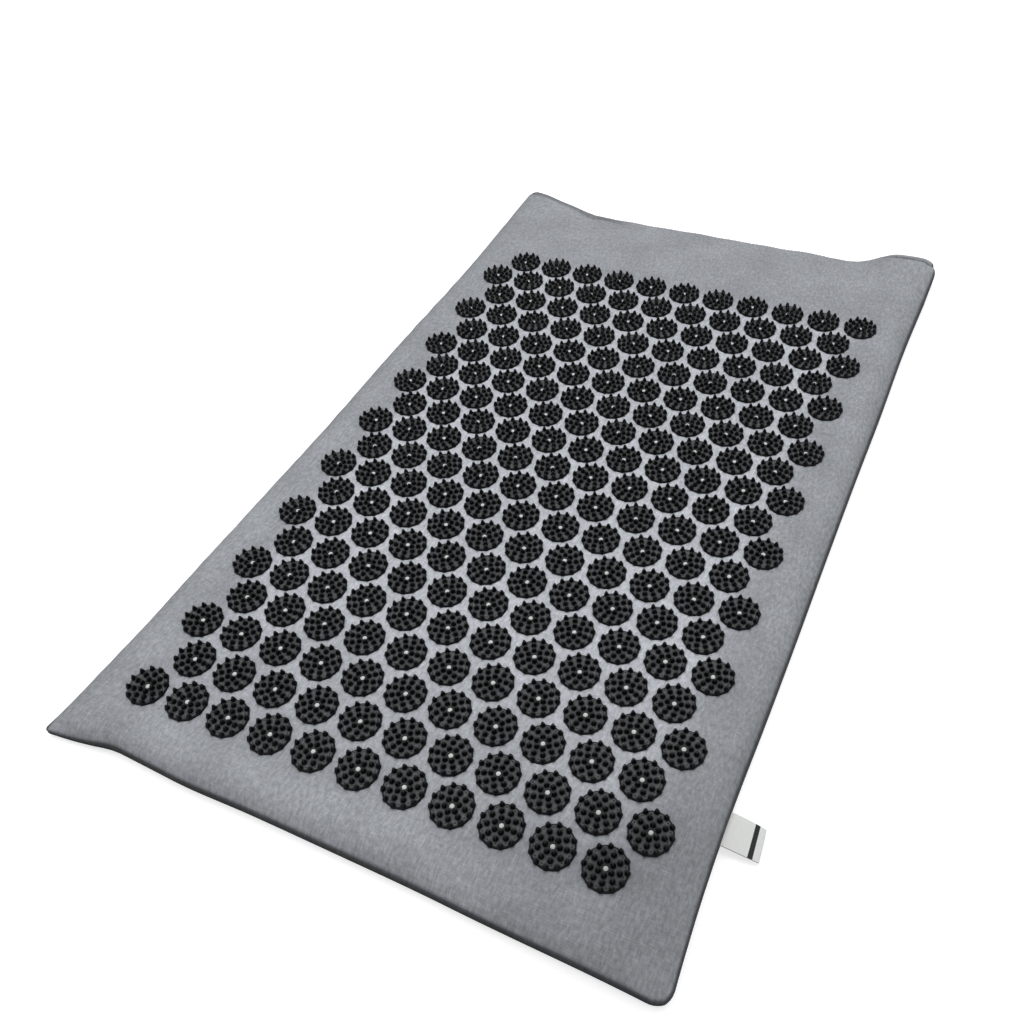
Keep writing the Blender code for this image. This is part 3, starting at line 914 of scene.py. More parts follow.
def make_panel(name, node, side, near_steps, far_steps, flat_step, moves):
    x_lines, y_lines = cover_lines(near_steps, far_steps, flat_step)
    x, y = np.meshgrid(x_lines, y_lines)
    surface = cover_surface(x, y, side)
    moved_along_y = through(coarse_y, moves, y_lines)
    surface += through(coarse_x, moved_along_y.transpose(1, 0, 2), x_lines).transpose(1, 0, 2)
    if side > 0:
        surface[..., 2] += crease_offset(x, y) + disc_relief(x, y)
    else:
        surface[..., 2] = np.maximum(surface[..., 2], 0.0)
    points, uv = surface.reshape(-1, 3), together(x, y).reshape(-1, 2)
    rim = rim_numbers(*x.shape)
    rings = turned_rim(points[rim], side)
    strip = np.concatenate([rim[None, :], len(points) + np.arange(rings[..., 0].size).reshape(len(rings), -1)])
    strip_quads = strip.ravel()[grid_quads(*strip.shape, wrap_columns=True)]
    faces = np.concatenate([grid_quads(*x.shape), strip_quads[:, ::-1]])[:, ::side]
    spans = 1.0 + np.arange(1, turn_steps + 1)[:, None, None] * turn_uv_step / half_width
    all_uv = np.concatenate([uv, (uv[rim] * spans).reshape(-1, 2)])
    panel = new_piece(name, grey_cloth, np.concatenate([points, rings.reshape(-1, 3)]), faces, all_uv)
    # Painted light and painted shade, stored on the panel's points for the cloth's material
    shares = {"painted_light_share": painted_light_share(x, y) if side > 0 else np.zeros(x.shape), "painted_shade_share": painted_shade_share(x, y, side)}
    for share, values in shares.items():
        add_share(panel, share, np.concatenate([values.ravel(), np.tile(values.ravel()[rim], turn_steps)]))
    wall = panel.modifiers.new("thickness", "SOLIDIFY")
    wall.thickness = cloth_thickness
    wall.offset = -1.0
    fit_piece(panel, "mat", "grey_cloth", node)
    rim_curves[name] = (points[rim], uv[rim])
    print(name, "points:", len(panel.data.vertices))


make_panel("top_panel", "cover_top", 1, 20, 46, 0.0027, upper_moves)
make_panel("under_panel", "cover_bottom", -1, 12, 16, 0.006, lower_moves)

# %% [markdown]
# ## Foam slab
#
# The slab inside is open-cell foam, cut square and eased at its edges by the tight cover. It shows only if the
# cover is cut away. It is one closed surface of two grids that share their rim: flat in the middle, with a
# superellipse down each edge and small round corners.

# %% Foam slab
foam_low, foam_high = node_box("foam_core")
foam_edge = 0.016
foam_edge_power = 2.6
foam_corner = 0.030
foam_inset = 0.0020


def make_foam_material():
    material, tree = new_material("foam")
    place = add_node(tree, "TexCoord", out="Object")
    cells = add_node(tree, "TexVoronoi", {"Vector": place, "Scale": 900.0}, "Distance")
    colour = mix(noise(place, 14.0, 3.0), (0.66, 0.62, 0.50), (0.78, 0.75, 0.64))
    # The pores at the cells' middles are dents in the bump and are painted darker, as shade inside them
    colour = mix(cells.spread(0.0, 0.5), (0.42, 0.39, 0.31), colour)
    feed_shader(tree, colour, 0.95, cells, 0.0003, 0.7, specular=0.1)
    return material


def make_foam():
    """A slab: height over the middle plane = half thickness * rise(to side) * rise(to end), above and below."""
    half = (foam_high - foam_low) / 2 - foam_inset
    middle = (foam_high + foam_low) / 2
    x, y = np.meshgrid(*(cut_lines(-h, h, foam_edge, foam_edge, 8, 8, 0.012) for h in half[:2]))
    level = half[2] * rise((half[0] - np.abs(x)) / foam_edge, foam_edge_power)
    level = level * rise((half[1] - np.abs(y)) / foam_edge, foam_edge_power)
    x, y = round_corner(x, y, half[0], half[1], foam_corner)
    sunk = top_drop(x, y) * level / half[2]
    points, faces, _ = closed_pair(together(x, y, level - sunk) + middle, together(x, y, -level) + middle)
    return new_piece("foam_slab", make_foam_material(), points, faces)


foam_slab = make_foam()
fit_piece(foam_slab, "mat", "foam", "foam_core")
print("foam slab points:", len(foam_slab.data.vertices))

# %% [markdown]
# ## Spiked discs
#
# Each disc is one moulding of black plastic: a thin round plate with a hole in its middle and 27 spikes on three
# rings of 6, 9 and 12. The rings line up with one another in three directions. The plate is a washer: one closed
# profile carried round a circle, whose rim swells into a small lobe under each outer spike. A spike is a short
# profile carried round eight steps, because a shape that is repeated nearly six thousand times has to be light.
# The hole is filled by a dot of the pale glue that holds the disc.

# %% Spiked discs
disc_underside = row_boxes[0, 0, 2]
plate_thickness = 0.0016
plate_edge = 0.0004
plate_steps = 48
plate_lobe = 0.032
hole_radius = 0.0016
spike_rings = ((6, 0.32), (9, 0.63), (12, 0.93))
first_spike = math.radians(15.0)
spike_blunting = 0.0004
spike_height = row_boxes[0, 1, 2] - disc_underside - plate_thickness - spike_blunting
spike_root_radius, spike_tip_radius = 0.0018, 0.00072
spike_flank_power = 1.05
spike_sides = 8
glue_radius = 0.00145
glue_sides = 10


def carried_round(profile, steps, wrap=False):
    """A profile of (radius, height) carried round the Z axis: (r cos a, r sin a, h)."""
    radius, height = np.asarray(profile, float).T[:, :, None]
    turn = 2 * math.pi * np.arange(steps) / steps
    rings = together(radius * np.cos(turn), radius * np.sin(turn), height)
    faces = grid_quads(len(profile), steps, wrap, True)
    return rings.reshape(-1, 3), faces[:, ::-1] if wrap else faces


def with_pole(points, faces, steps, height, at_end=True):
    """Closes the first or last ring by a fan to a point on the axis."""
    ring = np.arange(steps) + (len(points) - steps if at_end else 0)
    pole = np.full(steps, len(points))
    fan = np.stack([ring, np.roll(ring, -1), pole, pole], axis=-1)
    return np.concatenate([points, [[0.0, 0.0, height]]]), np.concatenate([faces, fan if at_end else fan[:, ::-1]])


def one_plate():
    hole_edge = ((0.0, plate_edge), (plate_edge, 0.0))
    outer_edge = ((0.0014, 0.0), (0.0008, 0.00012), (0.0002, 0.0005), (0.0, 0.0010))
    profile = [(hole_radius, 0.0)] + [(hole_radius + out, plate_thickness - down) for out, down in hole_edge]
    profile += [(disc_radius - inwards, plate_thickness - down) for inwards, down in outer_edge]
    points, faces = carried_round(profile + [(disc_radius, 0.0)], plate_steps, wrap=True)
    angles = np.arctan2(points[:, 1], points[:, 0]) - first_spike
    outwards = smooth_step(np.hypot(*points[:, :2].T) / disc_radius * 2 - 1)
    lobes = np.maximum(np.cos(spike_rings[-1][0] * angles), 0.0) * outwards
    points[:, :2] *= 1.0 + plate_lobe * lobes[:, None]
    return points, faces


def one_spike():
    """A stout cone with a foot: radius = tip + (root - tip) * (1 - share)^power over the height, and a round tip."""
    shares = np.array([-0.04, 0.15, 0.50, 0.91])
    taper = (1.0 - np.maximum(shares, 0.0)) ** spike_flank_power
    radii = spike_tip_radius + (spike_root_radius - spike_tip_radius) * taper
    points, faces = carried_round(together(radii, shares * spike_height), spike_sides)
    return with_pole(points, faces, spike_sides, spike_height)


def one_glue_dot():
    """A low dome that stands a little over the plate, closed below by a pole at its foot."""
    profile = [(glue_radius, 0.0003), (glue_radius, plate_thickness - 0.0004), (0.6 * glue_radius, plate_thickness)]
    dome = with_pole(*carried_round(profile, glue_sides), glue_sides, plate_thickness + 0.0002)
    return with_pole(*dome, glue_sides, 0.0, at_end=False)


def one_disc():
    """Points, faces and two shares of a disc on z 0: how much painted shade each point takes, and whether it is glue.
    """
    plate, plate_faces = one_plate()
    spike, spike_faces = one_spike()
    glue, glue_faces = one_glue_dot()
    roots = []
    for count, ring_share in spike_rings:
        angles = first_spike + 2 * math.pi * np.arange(count) / count
        reach = ring_share * disc_radius
        roots.append(together(reach * np.cos(angles), reach * np.sin(angles), plate_thickness))
    roots = np.concatenate(roots)
    spikes = (spike + roots[:, None, :]).reshape(-1, 3)
    faces = [plate_faces, copies(spike, spike_faces, len(roots)) + len(plate), glue_faces + len(plate) + len(spikes)]
    radius = np.hypot(plate[:, 0], plate[:, 1])
    # Painted shade: the plate's rim and the edge of its hole are painted as black as the spikes
    plate_painted_shade = smooth_step((radius - disc_radius + 0.0015) / 0.0009)
    plate_painted_shade[radius < hole_radius + 0.0002] = 1.0
    black = np.concatenate([plate_painted_shade, np.ones(len(spikes) + len(glue))])
    is_glue = np.arange(len(black)) >= len(plate) + len(spikes)
    return np.concatenate([plate, spikes, glue]), np.concatenate(faces), black, is_glue


disc_points, disc_faces, disc_painted_shade, disc_glue = one_disc()
print("one disc has", len(disc_faces), "faces; spike height in mm:", round(1000 * spike_height, 2))

# %% [markdown]
# ## Black plastic
#
# In the photograph the top of each plate is a dark grey and the spikes and rims are nearly black. All is one black
# plastic: the spikes and rims are painted near black as shade, the plate's top a lit grey, and painted shade
# darkens the plate round the foot of each spike. The plate darkens round the foot of each spike, where a fillet
# too small to model meets it. A small pit, left by an ejector pin, sits near the rim between each two outer
# spikes; it is painted dark inside as shade, with a painted highlight round its rim.
#
# One material serves all of it. It reads how much painted shade each point takes, and finds the pits and the
# spikes' feet from a UV map in metres about the disc's own centre, so that they turn with the disc.

# %% Black plastic
pit_count, pit_ring, pit_radius = 12, 0.82, 0.0007
foot_start, foot_reach, foot_shade = 0.0015, 0.0021, 0.06


def ring_distance(place, count, ring_share, start=0.0):
    """Distance in metres to the nearest of count spots on a ring: hypot(r - ring, r * angle to the nearest spot)."""
    parts = add_node(place.tree, "SeparateXYZ", {0: place})
    radius = add_node(place.tree, "VectorMath", {0: place}, "Value", operation="LENGTH")
    step = 2 * math.pi / count
    turn = (parts[1].math("ARCTAN2", parts[0]) - start) / step
    along = (turn - turn.math("ROUND")) * step * radius
    out = radius - ring_share * disc_radius
    return (along * along + out * out).math("SQRT")


def make_disc_plastic():
    material, tree = new_material("disc_plastic")
    black, glue = [add_node(tree, "Attribute", out="Fac", attribute_name=n) for n in ("disc_shade_share", "glue_share")]
    on_disc = add_node(tree, "UVMap", uv_map="disc_metres")
    place = add_node(tree, "TexCoord", out="Object")
    grain, smear = noise(place, 1900.0, 2.0), noise(place, 60.0, 3.0)
    plate = black.spread(0.0, 1.0, 1.0, 0.0)
    pit = ring_distance(on_disc, pit_count, pit_ring)
    feet = [ring_distance(on_disc, count, ring, first_spike) for count, ring in spike_rings]
    to_foot = feet[0].math("MINIMUM", feet[1]).math("MINIMUM", feet[2])

    def pit_disc(inner, outer):
        """1 within inner times the pit's radius and 0 beyond outer times it."""
        return pit.spread(inner * pit_radius, outer * pit_radius, 1.0, 0.0)

    # The pit is a dent in the bump, painted dark inside as shade, and its rim is painted lighter as a highlight
    in_pit = pit_disc(0.6, 1.0) * plate
    pit_rim_highlight = pit_disc(1.3, 1.7) - pit_disc(0.7, 1.0)
    texture = plate * grain.spread(0.3, 0.7, 0.6, 1.4) * smear.spread(0.3, 0.7, 0.8, 1.2)
    # Painted shade round the foot of each spike
    texture = texture * to_foot.spread(foot_start, foot_start + foot_reach, foot_shade, 1.0)
    texture = texture * (pit_rim_highlight * 0.5 + 1.0) * in_pit.spread(0.0, 1.0, 1.0, 0.15)
    # Spikes and rims are painted near black as shade, and the plate's top a lit grey, of one black plastic
    colour = mix(texture, (0.0022, 0.0026, 0.0032), (0.105, 0.111, 0.119))
    colour = mix(glue, colour, (0.66, 0.66, 0.64))
    roughness = plate.spread(0.0, 1.0, 0.36, 0.5) + smear.spread(0.3, 0.7, -0.06, 0.06)
    feed_shader(tree, colour, roughness, grain * 0.15 - in_pit, 0.0002, 0.8, specular=0.16)
    return material


disc_plastic = make_disc_plastic()
print("pits per disc:", pit_count)

# %% [markdown]
# ## Rows of discs
#
# The discs are stuck on by hand, so no two are turned alike. The table holds the direction, in degrees, of a line
# of spikes on each disc, read from the photograph. Each row is one piece of eleven separate discs, in the place
# of one solid of the frame. Where the top slopes, a disc tips with it but stays flat, because it is stiff.

# %% Rows of discs
disc_sink = 0.0003
disc_turns = (
    (54, 44, 19, 8, 25, 118, 58, 83, 114, 6, 39),
    (113, 117, 102, 117, 10, 7, 68, 80, 61, 45, 35),
    (64, 67, 109, 59, 37, 90, 19, 47, 55, 88, 15),
    (90, 1, 73, 70, 2, 3, 99, 39, 11, 84, 74),
    (33, 23, 76, 77, 100, 57, 5, 117, 116, 99, 8),
    (94, 76, 118, 47, 10, 68, 45, 110, 108, 23, 1),
    (27, 46, 105, 44, 82, 10, 84, 77, 12, 3, 59),
    (77, 98, 32, 100, 63, 43, 47, 89, 69, 97, 105),
    (22, 55, 10, 33, 31, 37, 91, 57, 116, 118, 72),
    (72, 5, 13, 23, 81, 76, 86, 111, 93, 25, 31),
    (47, 23, 98, 7, 58, 59, 36, 9, 87, 63, 95),
    (87, 96, 54, 27, 42, 85, 48, 71, 7, 13, 112),
    (111, 23, 29, 78, 94, 40, 0, 16, 100, 74, 93),
    (11, 50, 88, 12, 90, 1, 94, 107, 95, 80, 104),
    (87, 18, 18, 92, 25, 10, 79, 22, 60, 38, 112),
    (20, 79, 21, 87, 43, 57, 47, 111, 71, 70, 6),
    (117, 82, 50, 105, 10, 99, 27, 38, 70, 97, 36),
    (84, 22, 83, 71, 84, 66, 10, 83, 102, 8, 115),
    (101, 44, 39, 110, 2, 111, 109, 5, 79, 84, 84),
    (81, 113, 80, 104, 18, 33, 116, 22, 106, 113, 25),
)


def make_disc_row(number):
    middle_x, middle_y = disc_centres[number, :, :1], disc_centres[number, :, 1:]
    angles = np.radians(disc_turns[number]) - first_spike
    cos, sin = np.cos(angles)[:, None], np.sin(angles)[:, None]
    x = disc_points[:, 0] * cos - disc_points[:, 1] * sin + middle_x
    y = disc_points[:, 0] * sin + disc_points[:, 1] * cos + middle_y
    span = 0.5 * disc_radius
    tilt_x = (top_drop(middle_x + span, middle_y) - top_drop(middle_x - span, middle_y)) / (2 * span)
    tilt_y = (top_drop(middle_x, middle_y + span) - top_drop(middle_x, middle_y - span)) / (2 * span)
    drop = top_drop(middle_x, middle_y) + tilt_x * (x - middle_x) + tilt_y * (y - middle_y)
    z = disc_points[None, :, 2] + disc_underside - disc_sink - drop
    faces = copies(disc_points, disc_faces, discs_in_row)
    uv = np.tile(disc_points[:, :2], (discs_in_row, 1))
    name = f"{number + 1:02d}"
    row = new_piece(f"discs_in_row_{name}", disc_plastic, together(x, y, z), faces, uv, "disc_metres")
    add_share(row, "disc_shade_share", np.tile(disc_painted_shade, discs_in_row))
    add_share(row, "glue_share", np.tile(disc_glue, discs_in_row))
    fit_piece(row, "mat", "black_plastic", f"disc_row_{name}", sharp_degrees=50.0)


for number in range(row_count):
    make_disc_row(number)
print("disc pieces:", row_count)

# %% [markdown]
# ## Side label
#
# A short ribbon is folded in half and sewn into the right-hand seam. A box would do for its size, but a ribbon
# shows its fold and its two plies. Here one closed outline of the folded ribbon, seen from its end, is carried
# across its width, while the whole droops and twists a little. It is plain, with one dark woven stripe near the
# fold.

# %% Side label
label_low, label_high = node_box("side_label")
label_ply = 0.00038
label_gap = 0.00012
label_hidden = 0.006
label_width = label_high[1] - label_low[1]
label_middle = (label_low[1] + label_high[1]) / 2
label_root = 0.1992
label_reach = 0.0218
label_droop, label_droop_power, label_twist, label_curl = 0.0046, 1.4, 0.0007, 0.0006
label_narrowing, label_slide, label_skew = 0.04, 0.0004, 0.0016
stripe_from_fold, stripe_half_width = 0.0052, 0.0013


def ribbon_outline(length, steps):
    """Side view of the folded ribbon as a closed loop: out along the top, round the fold, back, and inside again.

    Points are (distance from the root, height over the middle). The fold is a half circle.
    """
    along = np.linspace(0.0, length - label_ply - label_gap / 2, steps)
    bend = np.linspace(math.pi / 2, -math.pi / 2, 9)[1:-1]

    def ply(radius):
        top = together(along, radius)
        fold = together(along[-1] + radius * np.cos(bend), radius * np.sin(bend))
        return np.concatenate([top, fold, top[::-1] * (1, -1)])

    return np.concatenate([ply(label_ply + label_gap / 2), ply(label_gap / 2)[::-1]])


def make_label(material):
    """The outline carried across. Its height sinks by droop * share^power from the root to the fold."""
    loop = ribbon_outline(label_reach + label_hidden, 16)
    across = (np.linspace(-0.5, 0.5, 15) * label_width)[:, None]
    distance = loop[:, 0] - label_hidden
    share = np.clip(distance / label_reach, 0.0, 1.0)
    sideways = across * (1.0 - label_narrowing * share**2) - label_slide * share
    droop = label_droop * share**label_droop_power - label_twist * np.sin(math.pi * share) * (across / label_width)
    curl = label_curl * share * (2 * across / label_width) ** 2
    x = label_root + distance - label_skew * share * (across / label_width)
    points = together(x, label_middle + sideways, seam_height + loop[:, 1] - droop + curl)
    faces = strip_faces(len(across), len(loop))
    return new_piece("label_ribbon", material, points, faces, together(way_along(loop), across))


def make_label_material():
    material, tree = new_material("label_ribbon")
    weave, place = add_weave(tree, yarn=0.00022, drift=4.0)
    colour = mix(weave["Tone"].spread(0.3, 0.7), (0.67, 0.68, 0.67), (0.79, 0.80, 0.78))
    from_fold = (add_node(tree, "SeparateXYZ", {0: place}) - (label_reach + label_hidden)).math("ABSOLUTE")
    off_stripe = (from_fold - stripe_from_fold).math("ABSOLUTE")
    stripe = off_stripe.spread(stripe_half_width, stripe_half_width + 0.0002, 1.0, 0.0)
    colour = mix(stripe, colour, (0.012, 0.013, 0.015))
    roughness = weave["Height"].spread(0.0, 1.0, 0.75, 0.55)
    feed_shader(tree, colour, roughness, weave["Height"], 0.00006, 0.6, specular=0.25, sheen=0.1)
    return material


label_ribbon = make_label(make_label_material())
fit_piece(label_ribbon, "mat", "woven_label", "side_label", sharp_degrees=40.0)

# %% [markdown]
# ## Thread
#
# A lockstitch closes the seam from inside, and a row of topstitching holds each lip of the zip flat. The seam's
# thread is one thin tube that follows the groove. The topstitching is a row of short capsules, each laid on the
# cloth by asking the same surface function where it is.

# %% Thread
thread_radius = 0.00042
thread_inset = 0.0016
thread_sides = 6
stitch_pitch, stitch_length, stitch_radius = 0.0034, 0.0026, 0.00024
stitch_from_lip = 0.0030
stitch_free_ends = 0.030


def tube(path, radius):
    """Points, faces and UV map of a tube: rings round each point of an open path, with both ends closed."""
    along = unit(np.gradient(path, axis=0))
    side = unit(np.cross(along, (0.0, 0.0, 1.0)))
    turn = 2 * math.pi * np.arange(thread_sides) / thread_sides
    ring = np.cos(turn)[:, None] * side[:, None] + np.sin(turn)[:, None] * np.cross(side, along)[:, None]
    points = path[:, None] + np.reshape(radius, (-1, 1, 1)) * ring
    uv = together(way_along(path)[:, None], turn * np.max(radius))
    return points.reshape(-1, 3), strip_faces(len(path), thread_sides), uv.reshape(-1, 2)


def make_thread_material():
    """Two-ply thread: slanted ridges from the way along and round it, with painted shade in the grooves between the
    plies.
    """
    material, tree = new_material("thread")
    parts = add_node(tree, "SeparateXYZ", {0: add_node(tree, "UVMap", uv_map="cloth_metres")})
    slant = parts[0] / 0.0009 + parts[1] / 0.0013
    ply = (slant * math.pi).math("SINE").math("ABSOLUTE")
    # The grooves between the plies are painted darker, as shade
    colour = mix(ply.spread(0.0, 0.5), (0.13, 0.136, 0.148), (0.37, 0.385, 0.41))
    feed_shader(tree, colour, 0.7, ply, 0.00015, 0.8, specular=0.2)
    return material


def seam_path():
    """The groove's middle, from one end of the zip round three sides of the mat to the other end."""
    points, uv = rim_curves["top_panel"]
    at_zip = (np.abs(uv[:, 0]) < zip_half - 0.002) & (uv[:, 1] > 0.0)
    order = np.roll(np.arange(len(points)), -1 - np.flatnonzero(at_zip)[-1])
    line = points[order[~at_zip[order]]] - (0.0, 0.0, seam_nose)
    return line + thread_inset * inward_of(np.gradient(line, axis=0))


def stitches_on_lip(side):
    """Capsules along one lip of the zip. Each stands out from the cloth at its middle and dips in at both ends."""
    count = int((2 * zip_half - stitch_free_ends) / stitch_pitch)
    middle = (np.arange(count) - (count - 1) / 2) * stitch_pitch
    shares = np.array([-1.0, -0.85, 0.0, 0.85, 1.0])
    widths = stitch_radius * np.array([0.35, 0.9, 1.0, 0.9, 0.35])
    x = middle[:, None] + 0.5 * stitch_length * shares
    y = np.full(x.shape, far_edge - stitch_from_lip)
    here, lower = cover_surface(x, y, side), cover_surface(x, y - 0.0005, side)
    if side > 0:
        here[..., 2] += crease_offset(x, y)
    slope = lower - here
    outward = unit(together(0.0 * x, np.abs(slope[..., 2]), -side * slope[..., 1]))
    paths = here + outward * stitch_radius * (1.2 - 1.2 * shares[None, :, None] ** 4)
    points, faces, uv = zip(*(tube(path, widths) for path in paths))
    return np.concatenate(points), copies(points[0], faces[0], count), np.concatenate(uv)


thread = make_thread_material()
thread_shapes = {
    "seam_thread": tube(seam_path(), thread_radius),
    "topstitch_upper": stitches_on_lip(1),
    "topstitch_lower": stitches_on_lip(-1),
}
for name, shape in thread_shapes.items():
    fit_piece(new_piece(name, thread, *shape), "mat", "grey_cloth")
print("thread pieces:", len(thread_shapes))

# %% [markdown]
# ## Zip tapes and coils
#
# Each tape is a narrow woven band that shows between the lips and folds back inside the cover. The coil on it is
# a nylon thread pressed into loops: seen from outside it is a row of small rounded teeth. The two rows stand half
# a pitch apart, so each tooth fills the gap between two teeth of the other row. Every size comes from the frame's
# boxes.

# %% Zip tapes and coils
tape_inside = 0.0046
tape_bend = 0.0008
tape_start = 0.00015
tooth_pitch = 0.0013
tooth_half_width = 0.00034
tooth_past_middle = 0.0006
tooth_sides = 8


def make_tape(side, name, material):
    """A band: up from the middle of the zip, a quarter turn, and back inside the cover."""
    low, high = node_box(f"zip_tape_{name}")
    half_thick = (high[1] - low[1]) / 2
    middle_y = (high[1] + low[1]) / 2
    reach = high[2] - low[2] - tape_bend
    bend = np.linspace(0.0, math.pi / 2, 6)

    def side_line(offset):
        """The band's line moved sideways by offset: (y, distance from the zip's middle)."""
        straight = together(middle_y + offset, tape_start + np.linspace(0.0, reach, 5))
        centre = (middle_y - tape_bend, tape_start + reach)
        turn = centre + (tape_bend + offset) * together(np.cos(bend), np.sin(bend))
        back = turn[-1] - together(np.linspace(0.0, tape_inside, 5), 0.0)
        return np.concatenate([straight, turn[1:], back[1:]])

    loop = np.concatenate([side_line(half_thick), side_line(-half_thick)[::-1]])
    x = np.linspace(low[0], high[0], 126)[:, None]
    points = together(x, loop[:, 0], seam_height + side * loop[:, 1])
    faces = strip_faces(len(x), len(loop))[:, ::-side]
    tape = new_piece(f"tape_{name}", material, points, faces, together(x, way_along(loop)))
    fit_piece(tape, "mat", "zip_tape", f"zip_tape_{name}", sharp_degrees=50.0)


def one_tooth(deep, length):
    """A rounded loop, lying along +Z from just past the zip's middle: widest near its root, with a blunt head."""
    shares = np.array([0.0, 0.05, 0.22, 0.5, 0.85, 0.97, 1.0])[:, None]
    wide = np.array([0.35, 0.8, 1.0, 0.72, 0.72, 0.6, 0.3])[:, None]
    turn = 2 * math.pi * np.arange(tooth_sides) / tooth_sides
    x, y = tooth_half_width * wide * np.cos(turn), 0.49 * deep * np.sqrt(wide) * np.sin(turn)
    return together(x, y, shares * length - tooth_past_middle).reshape(-1, 3), strip_faces(len(shares), tooth_sides)


def make_coil(side, name, material):
    """A row of teeth, mirrored below the middle and half a pitch further along."""
    low, high = node_box(f"zip_coil_{name}")
    tooth, tooth_faces = one_tooth(high[1] - low[1], high[2] - low[2] + tooth_past_middle)
    count = int((high[0] - low[0] - tooth_pitch) / tooth_pitch)
    x = low[0] + tooth_pitch * (np.arange(count) + (0.5 if side > 0 else 1.0))
    points = tooth * (1, 1, side) + together(x, (low[1] + high[1]) / 2, seam_height)[:, None]
    faces = copies(tooth, tooth_faces[:, ::side], count)
    coil = new_piece(f"coil_{name}", material, points, faces, points[..., [2, 0]])
    fit_piece(coil, "mat", "zip_coil", f"zip_coil_{name}")


def make_coil_material():
    """Nylon: smooth, dark, with flow marks along each tooth."""
    material, tree = new_material("coil_nylon")
    marks = noise(add_node(tree, "TexCoord", out="Object"), 700.0, 3.0)
    colour = mix(marks.spread(0.3, 0.7), (0.115, 0.12, 0.135), (0.175, 0.18, 0.20))
    feed_shader(tree, colour, marks.spread(0.3, 0.7, 0.32, 0.48), marks, 0.00005, 0.5)
    return material


tape_cloth = make_cloth(
    "tape_cloth", dark=(0.13, 0.136, 0.15), light=(0.20, 0.209, 0.23), fleck=(0.23, 0.24, 0.26),
    yarn=0.00032, drift=5.0, depth=0.0001, patch_share=0.06, mottle_share=0.05, painted_light_gain=1.0,
)
coil_nylon = make_coil_material()
for side, name in ((1, "top"), (-1, "bottom")):
    make_tape(side, name, tape_cloth)
    make_coil(side, name, coil_nylon)
print("teeth at a pitch of mm:", 1000 * tooth_pitch)

# %% [markdown]
# ## Zip slider, stops and pull
#
# The metal parts are pressed and cast, so nothing on them is sharp. The slider's front plate and its two rails are
# one channel with a waist. Its crown is an arch over the bar of the pull. The pull is a flat tab with an eye: two
# rounded rectangles joined by a rounded rim. A stop is a pressed block.

# %% Zip slider, stops and pull
slider_low, slider_high = node_box("zip_slider")
pull_low, pull_high = node_box("zip_pull")
plate_thick = 0.0010
plate_back = node_box("zip_coil_top")[1][1] + 0.0003
plate_front = plate_back + plate_thick
plate_edge_radius = 0.0004
channel_corner, channel_steps = 0.0007, 17
waist_depth, waist_width, end_taper = 0.10, 0.45, 0.10
rail_width = 0.0009
crown_half_length, crown_half_width = 0.003, 0.0008
crown_half_window, crown_window_height = 0.0019, 0.0015
crown_squareness, stop_squareness = 0.6, 0.45
crimp_depth, crimp_width = 0.16, 0.22
pull_corner, pull_bar, pull_edge = 0.0018, 0.0008, 0.00022
pull_eye_length, pull_eye_half_width, pull_eye_corner = 0.0039, 0.0012, 0.0008


def make_metal():
    """Plated zinc: fine grain, soft stains, and long hairline scratches, which are smoother and brighter."""
    material, tree = new_material("zip_metal")
    place = add_node(tree, "TexCoord", out="Object")
    grain, stain = noise(place, 1500.0, 2.0), noise(place, 160.0, 4.0)
    stretched = add_node(tree, "VectorMath", {0: place, 1: (0.12, 1.0, 1.0)}, operation="MULTIPLY")
    scratch = noise(stretched, 3200.0, 1.0).spread(0.66, 0.72)
    colour = mix(stain.spread(0.35, 0.7), (0.30, 0.30, 0.31), (0.40, 0.395, 0.385))
    colour = mix(scratch, colour, (0.44, 0.435, 0.43))
    roughness = stain.spread(0.3, 0.7, 0.36, 0.5) - scratch * 0.12
    feed_shader(tree, colour, roughness, grain * 0.4 - scratch, 0.00003, 0.5, metallic=1.0)
    return material


def blunt(wave, power):
    """A sine or cosine pressed outwards, which squares a circle: sign * |wave|^power."""
    return np.sign(wave) * np.abs(wave) ** power


def slider_channel():
    """The front plate and two rails: a C-shaped section in (y, z), carried along x, and narrower at its waist."""
    half = (slider_high[2] - slider_low[2]) / 2
    rail = [(slider_low[1], half), ((slider_low[1] + plate_front) / 2, half)]
    turn = np.linspace(0.0, math.pi / 2, 5)
    centre = (plate_front - channel_corner, half - channel_corner)
    upper = np.concatenate([rail, centre + channel_corner * together(np.sin(turn), np.cos(turn))])
    outer = np.concatenate([upper, upper[::-1] * (1, -1)])
    inner_z = np.clip(outer[:, 1], -(half - rail_width), half - rail_width)
    inner = together(np.minimum(outer[:, 0], plate_back), inner_z)
    x = np.linspace(slider_low[0], slider_high[0], channel_steps)[:, None]
    share = np.linspace(-1.0, 1.0, channel_steps)[:, None]
    waist = 1.0 - waist_depth * hump(share, 0.0, waist_width) - end_taper * np.abs(share) ** 10
    loop = np.concatenate([outer, inner[::-1]])
    is_outer = np.arange(len(loop)) < len(outer)
    nose = np.where(is_outer, 0.35 * plate_thick * np.abs(share) ** 8, 0.0)
    y = loop[:, 0] - nose * (loop[:, 0] > plate_back)
    points = together(x, y, seam_height + loop[:, 1] * np.where(is_outer, waist, 1.0))
    return points.reshape(-1, 3), strip_faces(channel_steps, len(loop))


